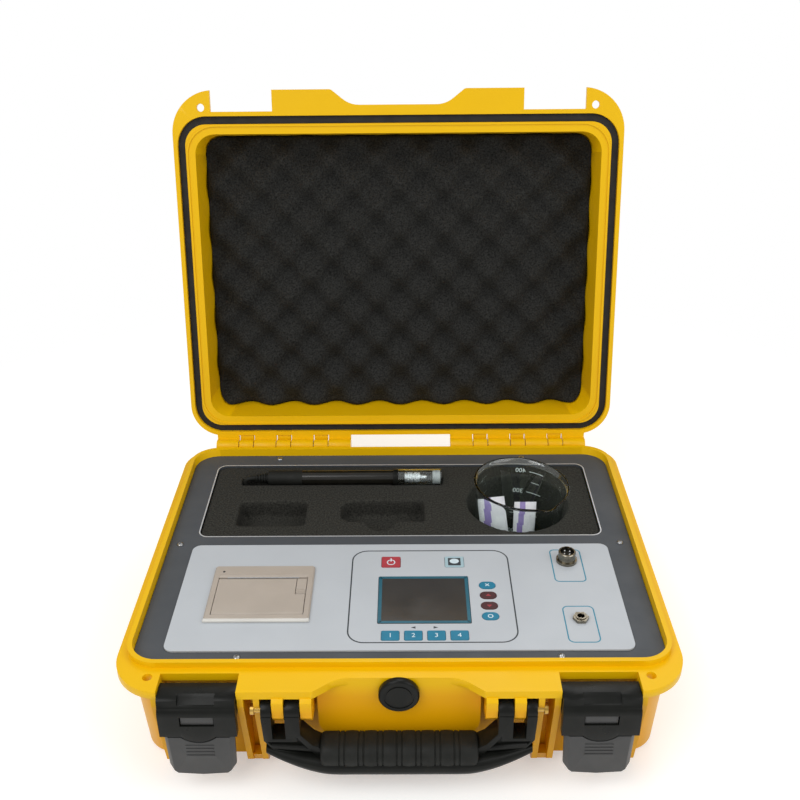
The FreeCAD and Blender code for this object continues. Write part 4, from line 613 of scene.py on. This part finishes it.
def beaker_scale():
    """Fired enamel graduations, every 50 ml, numbered every 100 ml."""
    line_angle, number_angle = 62, 84
    for step in range(1, 9):
        height = 3.0 + 11.0 * step
        numbered = step % 2 == 0
        line = sheet(14 if numbered else 8, 0.6, 8, 1)
        edit()
        extrude(INK)
        done()
        wrapped(line, f"scale_line_{step}", line_angle, height)
        if numbered:
            number = letterform(str(50 * step), 6.5, smoothness=3)
            wrapped(number, f"scale_number_{step}", number_angle, height)


# ---------------------------------------------------------------- printing on the panel

def panel_outlines():
    """Outlines round the keys, the sockets and the display, and two arrows."""
    printed_line("keypad_outline", dark_ink, (-38.8, -121.2), (88.5, -9.8), 12.8, 1.1, PLATE_TOP)
    printed_line("input_outline", teal_ink, (122.9, -51.5), (148.3, -9.5), 4.0, 1.0, PLATE_TOP)
    printed_line("supply_outline", teal_ink, (123.9, -121.5), (148.1, -80.5), 4.7, 1.0, PLATE_TOP)
    for name, x, turn in (("arrow_left", 11.0, 90), ("arrow_right", 26.8, -90)):
        printed_shape(name, dark_ink, "case", 3, 4.6, 3.0, x, -104.35, PLATE_TOP, turn)
    margin = 0.15
    low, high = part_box("display_window")
    printed_line("display_border", teal_frame, (low[0] / MM + margin, low[1] / MM + margin),
                 (high[0] / MM - margin, high[1] / MM - margin), 1.4, 2.6, high[2] / MM)


def key_marks():
    """Plain numbers and signs on the keys."""
    for number in range(1, 5):
        key = f"key_f{number}"
        printed_text("mark_" + key, pale_ink, key, str(number), 6.2, *on_top(key))
    for key, turn in (("key_up", 0), ("key_down", 180)):
        printed_shape("mark_" + key, red_ink, key, 3, 5.0, 3.4, *on_top(key), turn)
    printed_text("mark_key_escape", pale_ink, "key_escape", "×", 8.0, *on_top("key_escape"))
    x, y, z = on_top("key_enter")
    ring = 2.1
    printed_line("mark_key_enter", pale_ink, (x - ring, y - ring), (x + ring, y + ring), 2.05, 0.7, z,
                 "key_enter")
    x, y, z = on_top("key_power")
    ring, drop = 3.4, 0.5
    printed_line("mark_key_power", pale_ink, (x - ring, y - ring - drop), (x + ring, y + ring - drop),
                 3.3, 0.8, z, "key_power")
    printed_shape("mark_key_power_bar", pale_ink, "key_power", 4, 1.3, 5.6, x, y + 2.6, z + INK, 45)
    x, y, z = on_top("key_light")
    printed_shape("mark_key_light_ground", dark_ink, "key_light", 4, 14.4, 13.6, x, y, z, 45)
    printed_shape("mark_key_light_lamp", pale_ink, "key_light", 24, 7.6, 6.2, x, y + 0.7, z + INK)


# ---------------------------------------------------------------- panel hardware

def tray_edge():
    """The bare cut edge of the coated sheet round the tray."""
    half_x, y, half_y = 171.7, 68.803, 56.9
    printed_line("tray_cut_edge", cut_edge, (-half_x, y - half_y), (half_x, y + half_y), 8.6, 1.0,
                 PANEL_TOP)


def panel_screws():
    """Six cross-recess pan heads, modelled once and copied."""
    head = turned([(2.6, 0), (2.6, 0.45), (2.35, 0.95), (1.75, 1.3), (0.9, 1.4)], sides=24)
    alone()
    bpy.ops.mesh.primitive_cube_add(size=MM, location=(0, 0, 1.3 * MM), scale=(3.0, 0.62, 1.6))
    slot = bpy.context.object
    bpy.ops.object.transform_apply(location=True, scale=True)
    edit()
    bpy.ops.mesh.bevel(offset=0.08 * MM, segments=1)
    done()
    for turn in (0, 90):
        slot.rotation_euler = (0, 0, math.radians(turn))
        bpy.context.view_layer.update()
        modify(head, "BOOLEAN", operation="DIFFERENCE", object=slot)
    bpy.data.objects.remove(slot)
    places = [(184, 1.3), (-184, 1.3), (115, 136.4), (-115, 136.4), (117, -134.4), (-117, -134.4)]
    for number, (x, y) in enumerate(places):
        turn = moved(x, y, PANEL_TOP) @ Matrix.Rotation(0.4 + number, 4, "Z")
        settle(twin(head), f"screw_head_{number}", stainless, "case", turn)
    bpy.data.objects.remove(head)
    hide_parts("panel_screws")


def input_contacts():
    """The dark insulator in the input socket, with four plated contacts round its key."""
    x, y, ring = 135.6, -24.4, 2.9
    insulator = turned([(5.4, 94.5), (5.4, 97.6), (5.1, 97.9)], sides=32)
    settle(insulator, "input_insulator", black_nylon, "case", moved(x, y, 0))
    for number in range(4):
        angle = math.radians(35 + 90 * number)
        pin = turned([(0.75, 97.5), (0.75, 99.6), (0.4, 100.0)], sides=16)
        place = moved(x + ring * math.cos(angle), y + ring * math.sin(angle), 0)
        settle(pin, f"input_contact_{number + 1}", stainless, "case", place)


# ---------------------------------------------------------------- printer

def printer_lamp():
    """The paper lamp: a small dark lens in a hole."""
    piece = turned([(1.3, 0), (1.3, 0.15), (1.05, 0.2), (0.9, 0.45), (0.5, 0.6)], sides=24)
    settle(piece, "printer_lamp", display_film, "case", moved(-140.3, -40.2, 93.6))


def printer_trim():
    """The tear bar and its steel blade behind the slot, the front lip painted pale as a highlight, and
    the lever's ribs.
    """
    bar = block((-143.4, -47.3, 89.6), (-72.6, -43.3, 93.7))
    edit()
    choose(bar, lambda normal: normal.y < -0.9)
    bpy.ops.mesh.bevel(offset=0.4 * MM, segments=2)
    done()
    settle(bar, "printer_tear_bar", printer_abs, "case")
    blade = block((-136.5, -47.7, 92.9), (-79.5, -47.2, 93.85))
    settle(blade, "printer_tear_blade", cut_edge, "case")
    # The lip is a real rounded strip; its pale grey is a painted highlight.
    lip = block((-148.2, -98.6, 91.25), (-67.8, -95.4, 93.5))
    rounded(lip, 0.7, 3)
    settle(lip, "printer_front_lip_painted_highlight", printer_highlight_abs, "case")
    x, y, top = on_top("door_lever")
    half, first, pitch, thick = 3.3, 8.6, 2.2, 1.0
    for step in range(3):
        start = y - first + pitch * step
        rib = block((x - half, start, top - 0.3), (x + half, start + thick, top + 0.5))
        rounded(rib, 0.3)
        settle(rib, f"lever_rib_{step + 1}", printer_abs, "door_lever")


# ---------------------------------------------------------------- handle

HANDLE_Y = -171  # the middle of the handle's bar, hanging down


def handle_grip():
    """The rubber sleeve: finger swells and seven pairs of moulded grooves between rounded ends."""
    end = [(0.84, 55.5), (0.92, 54.6), (0.97, 52.5)]
    plain, grooved, pitch = 0.972, 0.972 - 0.055, 13.5
    grooves = [(plain, -2.5), (grooved, -2.1), (grooved, -1.6), (plain, -1.2),
               (plain, 1.2), (grooved, 1.6), (grooved, 2.1), (plain, 2.5)]
    swell = [(0.985, 4.2), (1.0, pitch / 2), (0.985, 9.3)]
    pairs = [pitch * step for step in range(-3, 4)]
    stations = [(share, -height) for share, height in end]
    for pair in pairs:
        stations += [(share, pair + offset) for share, offset in grooves]
        if pair != pairs[-1]:
            stations += [(share, pair + offset) for share, offset in swell]
    stations += end[::-1]
    piece = oblong(20.4, 26.4, 9.6, stations)
    settle(piece, "handle_sleeve", grip_rubber, "handle", moved(0, HANDLE_Y, 37.8) @ spun(90, "Y"),
           smooth=50)
    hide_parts("handle_grip")


def handle_rail():
    """The smooth spine under the sleeve, which sweeps up into both arms."""
    taper_from, taper_run, taper = 50, 36, 0.4
    sweep_from, sweep_run, sweep = 42, 40, 7.8
    stations = []
    for x in range(-94, 95, 4):
        reach = max(0.0, (abs(x) - taper_from) / taper_run)
        stations.append((1 - taper * reach ** 1.5, x))
    piece = oblong(13, 26.8, 6.3, stations)
    for vertex in piece.data.vertices:
        reach = max(0.0, abs(vertex.co.z) / MM - sweep_from) / sweep_run
        vertex.co.x -= sweep * reach ** 1.75 * MM
    settle(piece, "handle_rail", black_nylon, "handle", moved(0, HANDLE_Y, 29.2) @ spun(90, "Y"),
           smooth=60)


def handle_arms():
    """The moulded handle, its lower corners drawn up into one curve under the sleeve."""
    inner, outer = 69, 85  # across each arm the rise fades out
    at_middle, at_arm = 4, 9  # how far the underside rises
    top, fade = 47, 30  # nothing moves above the top
    piece = copied("handle_frame")
    for vertex in piece.data.vertices:
        x, z = abs(vertex.co.x) / MM, vertex.co.z / MM
        if x < inner:
            rise = at_middle + (at_arm - at_middle) * (x / inner) ** 2
        else:
            rise = at_arm * max(0.0, outer - x) / (outer - inner)
        vertex.co.z += rise * min(1.0, max(0.0, (top - z) / fade)) * MM
    rounded(piece, 0.6, 2, 40, miter_outer="MITER_ARC")
    settle(piece, "handle_arms", black_nylon, "handle")
    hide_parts("handle_frame")


# ---------------------------------------------------------------- lid

def hinge_webs():
    """The lid's edge carried down between its knuckles, close over the knuckles of the base."""
    row, knuckle, notch, gap = 48.5, 22, 14.3, 0.5  # along X, from the middle
    for side, word in ((-1, "left"), (1, "right")):
        for number in range(3):
            start = row + knuckle + number * (knuckle + notch)
            ends = sorted((side * (start + gap), side * (start + notch - gap)))
            web = block((ends[0], 151.9, 94.3), (ends[1], 158.0, 97.7))
            rounded(web, 0.5)
            settle(web, f"hinge_web_{word}_{number + 1}", case_plastic, "lid", opened())


def lid_bead():
    """The raised bead round the lid's opening."""
    half_x, half_y = 191.6, 141.0
    printed_line("lid_lip_bead", case_plastic, (-half_x, -half_y), (half_x, half_y), 26, 1.5, 92.3,
                 "lid", 1.2, opened())


# ---------------------------------------------------------------- latches

def latch(side, middle):
    """The latch with its window drawn up under the barrel, and the tab's tongue in the window."""
    lift = 4.0
    window_top, tab_top = 72, 62  # only what is below them is lifted
    edge_top, edge_lift = 30, 1.6  # the tab's lower edge rises a little more
    lever = copied("latch_body_" + side)
    for vertex in lever.data.vertices:
        if vertex.co.z < window_top * MM:
            vertex.co.z += lift * MM
    rounded(lever, 0.7, 3, 40, miter_outer="MITER_ARC")
    settle(lever, "latch_lever_" + side, black_nylon, "latch_body_" + side)
    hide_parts("latch_body_" + side)
    tab = copied("latch_tab_" + side)
    low = min(vertex.co.z for vertex in tab.data.vertices)
    for vertex in tab.data.vertices:
        if vertex.co.z < tab_top * MM:
            share = max(0.0, (edge_top * MM - vertex.co.z) / (edge_top * MM - low))
            vertex.co.z += (lift + edge_lift * share) * MM
    tongue = block((middle - 11.4, -176.6, 67.5), (middle + 11.4, -174.4, 74.7))
    root = block((middle - 11.0, -175.4, 67.7), (middle + 11.0, -172.6, 70.2))
    tab = together(tab, tongue, root)
    rounded(tab, 0.6, 3, 25, miter_outer="MITER_ARC")
    settle(tab, "latch_release_" + side, grey_nylon, "latch_tab_" + side)
    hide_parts("latch_tab_" + side)


# ---------------------------------------------------------------- what the beaker holds

def sachet(name, place, width, tall, tilt, lean, turn):
    """A sealed film sachet of cotton: a swollen middle, flat crimped ends and a violet band."""
    seal_share, fullness, crease = 0.14, 2.6, 0.22
    piece = sheet(width, tall, 20, 32)
    for vertex in piece.data.vertices:
        u, v = 2 * vertex.co.x / (width * MM), 2 * vertex.co.y / (tall * MM)
        seal = min(1.0, (1 - abs(v)) / seal_share)
        swell = max(0.0, 1 - u * u) ** 0.5 * max(0.0, 1 - v * v) ** 0.5 * seal
        wrinkle = crease * math.sin(17 * u + 3 * v) * math.sin(9 * v) * seal
        vertex.co.z = (fullness * swell + wrinkle) * MM
    modify(piece, "SOLIDIFY", thickness=0.35 * MM, offset=0)
    banded = []
    for face in piece.data.polygons:
        across, slant = face.center.x / (width * MM), 0.3 * face.center.y / (tall * MM)
        if abs(across + 0.26 - slant) < 0.13:
            banded.append(face.index)
    settle(piece, name, sachet_film, "beaker",
           moved(*place) @ spun(turn, "Z") @ spun(tilt, "X") @ spun(lean, "Z"), smooth=70)
    piece.data.materials.append(sachet_band)
    for index in banded:
        piece.data.polygons[index].material_index = 1


# ---------------------------------------------------------------- probe

PROBE_Y, PROBE_Z = 100.5, 92  # the probe's axis, which runs along X


def probe_cell():
    """The silvery cell in the clear cap, and the soft pad at the cap's end."""
    along = moved(0, PROBE_Y, PROBE_Z) @ spun(90, "Y")
    wide, neck = 4.6, 4.0
    cell = turned([(wide, 4), (wide, 5.2), (neck, 5.6), (neck, 6.6), (wide, 7.0), (wide, 11.2),
                   (neck, 11.6), (neck, 12.6), (wide, 13.0), (wide, 17.4), (4.2, 18.2), (2.2, 18.6),
                   (2.0, 23.5), (1.4, 24.2)], sides=32)
    settle(cell, "probe_electrodes", cell_silver, "probe", along, smooth=40)
    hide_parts("probe_cell")
    pad = turned([(5.4, 29.6), (6.2, 30.2), (6.3, 31), (6.3, 36.0), (5.9, 36.6)], sides=32)
    settle(pad, "probe_cap_pad", frosted_pad, "probe", along, smooth=40)


def probe_boot():
    """The ribbed boot at the probe's other end, tapering to the lead."""
    start, depth = -121, 0.9
    stations = [(4.5, 0), (4.6, 0.3), (4.6, 1.5)]
    for rib in range(4):
        radius, height = 4.5 - 0.4 * rib, 2.0 + 2.5 * rib
        stations += [(radius - depth, height), (radius - depth, height + 0.7)]
        stations += [(radius, height + 1.0), (radius, height + 2.0)]
    stations += [(3.0, 11.8), (2.9, 12)]
    boot = turned(stations, sides=32)
    settle(boot, "probe_strain_relief", grip_rubber, "probe",
           moved(start, PROBE_Y, PROBE_Z) @ spun(-90, "Y"), smooth=30)
    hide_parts("probe_boot")


def probe_cable():
    """The stretch of lead that shows, from the boot down into the foam."""
    thick, start, bend = 4.8, -133, -143
    route = [(start, PROBE_Y, PROBE_Z), (bend, PROBE_Y, PROBE_Z), (bend, PROBE_Y, 82),
             (bend, PROBE_Y, 66)]
    curve = bpy.data.curves.new("probe_cable", "CURVE")
    curve.dimensions = "3D"
    curve.bevel_depth = thick / 2 * MM
    curve.bevel_resolution = 6
    curve.resolution_u = 16
    curve.use_fill_caps = True
    spline = curve.splines.new("NURBS")
    spline.points.add(len(route) - 1)
    for point, place in zip(spline.points, route):
        point.co = (*(Vector(place) * MM), 1)
    spline.order_u = 3
    spline.use_endpoint_u = True
    piece = bpy.data.objects.new("probe_cable", curve)
    bpy.context.collection.objects.link(piece)
    piece.data.materials.append(grip_rubber)
    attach(piece, "probe")
    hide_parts("probe_lead")


lid_foam()
foam_insert()
beaker()
beaker_scale()
panel_outlines()
key_marks()
tray_edge()
panel_screws()
printer_lamp()
printer_trim()
handle_grip()
handle_arms()
handle_rail()
hinge_webs()
lid_bead()
latch("left", -140.25)
latch("right", 140.25)
sachet("sachet_left", (86, 62, 54), 24, 72, tilt=74, lean=9, turn=-6)
sachet("sachet_right", (112, 66, 50), 20, 66, tilt=76, lean=-3, turn=5)
probe_cell()
probe_boot()
probe_cable()
input_contacts()
soften(0.6, "valve_knob")
soften(0.8, "base_shell", "lid_shell")
soften(0.35, "printer_bezel", "printer_door", "door_lever")


# ---------------------------------------------------------------- stage, light and camera

def most(tree, first, second):
    """The larger of two shader values."""
    return add(tree, "Math", {0: first, 1: second}, operation="MAXIMUM").outputs[0]


def stage_floor():
    """A pale floor that fades to plain white away from the case."""
    fade_from, fade_to = 0.35, 0.75  # metres from the middle
    bpy.ops.mesh.primitive_plane_add(size=8)
    floor = bpy.context.object
    floor.name = "floor"
    paper, tree = blank("Backdrop paper white")
    seen = add(tree, "LightPath").outputs
    direct = most(tree, seen["Is Camera Ray"], seen["Is Glossy Ray"])
    direct = most(tree, direct, seen["Is Transmission Ray"])
    diffuse = add(tree, "BsdfDiffuse", {"Color": linear("#E6E6E4")})
    lift = add(tree, "Emission", {"Color": linear("#FFFFFF"), "Strength": 0.38})
    lifted = add(tree, "AddShader", {0: diffuse.outputs[0], 1: lift.outputs[0]})
    mixed = add(tree, "MixShader", {0: direct, 1: diffuse.outputs[0], 2: lifted.outputs[0]})
    away = add(tree, "VectorMath", {0: add(tree, "TexCoord").outputs["Object"]}, operation="LENGTH")
    fade = add(tree, "MapRange", {0: away.outputs["Value"], 1: fade_from, 2: fade_to})
    far = add(tree, "Math", {0: fade.outputs[0], 1: direct}, operation="MULTIPLY")
    white = add(tree, "Emission", {"Color": linear("#FFFFFF"), "Strength": 1.0})
    ground = add(tree, "MixShader", {0: far.outputs[0], 1: mixed.outputs[0], 2: white.outputs[0]})
    add(tree, "OutputMaterial", {"Surface": ground.outputs[0]})
    floor.data.materials.append(paper)


def surround():
    """A white surround: dimmer as a light than where it is seen, directly or through glass."""
    lit, shown = 0.55, 1.0
    world = bpy.data.worlds.new("Studio")
    bpy.context.scene.world = world
    world.use_nodes = True
    tree = world.node_tree
    tree.nodes.clear()
    seen = add(tree, "LightPath").outputs
    direct = most(tree, seen["Is Camera Ray"], seen["Is Transmission Ray"])
    strength = add(tree, "MapRange", {0: direct, 3: lit, 4: shown})
    white = add(tree, "Background", {"Color": linear("#FFFFFF"), "Strength": strength.outputs[0]})
    add(tree, "OutputWorld", {"Surface": white.outputs[0]})


def soft_lamp(name, place, target, size, power):
    """A large square lamp aimed at a target; metres and watts."""
    light = bpy.data.lights.new(name, "AREA")
    light.size = size
    light.energy = power
    lamp = bpy.data.objects.new(name, light)
    bpy.context.collection.objects.link(lamp)
    lamp.location = place
    lamp.rotation_euler = (Vector(target) - Vector(place)).to_track_quat("-Z", "Y").to_euler()


def camera():
    """The main view: in front of the case and above it, looking down into it."""
    place = (7.75, -688.19, 600.54)
    pitch, yaw, roll = math.radians(-28.46), math.radians(-0.53), math.radians(-0.59)
    data = bpy.data.cameras.new("camera")
    data.sensor_width = 36
    data.lens = 45.66
    data.clip_start = 0.02
    data.clip_end = 20
    made = bpy.data.objects.new("camera", data)
    bpy.context.collection.objects.link(made)
    forward = Vector((math.sin(yaw) * math.cos(pitch), math.cos(yaw) * math.cos(pitch),
                      math.sin(pitch)))
    level = Vector((math.cos(yaw), -math.sin(yaw), 0))
    upright = level.cross(forward)
    right = math.cos(roll) * level + math.sin(roll) * upright
    up = math.cos(roll) * upright - math.sin(roll) * level
    turn = Matrix((right, up, -forward)).transposed()
    made.matrix_world = Matrix.LocRotScale(Vector(place) * MM, turn.to_quaternion(), None)
    bpy.context.scene.camera = made


stage_floor()
surround()
soft_lamp("key", (-0.9, -1.1, 1.7), (0, 0, 0.05), 1.3, 17)
soft_lamp("fill", (1.3, -0.8, 1.2), (0, 0, 0.08), 1.2, 9)
soft_lamp("back", (0.2, 1.3, 1.6), (0, 0, 0.1), 1.0, 8)
camera()
bpy.context.scene.view_settings.view_transform = "Standard"
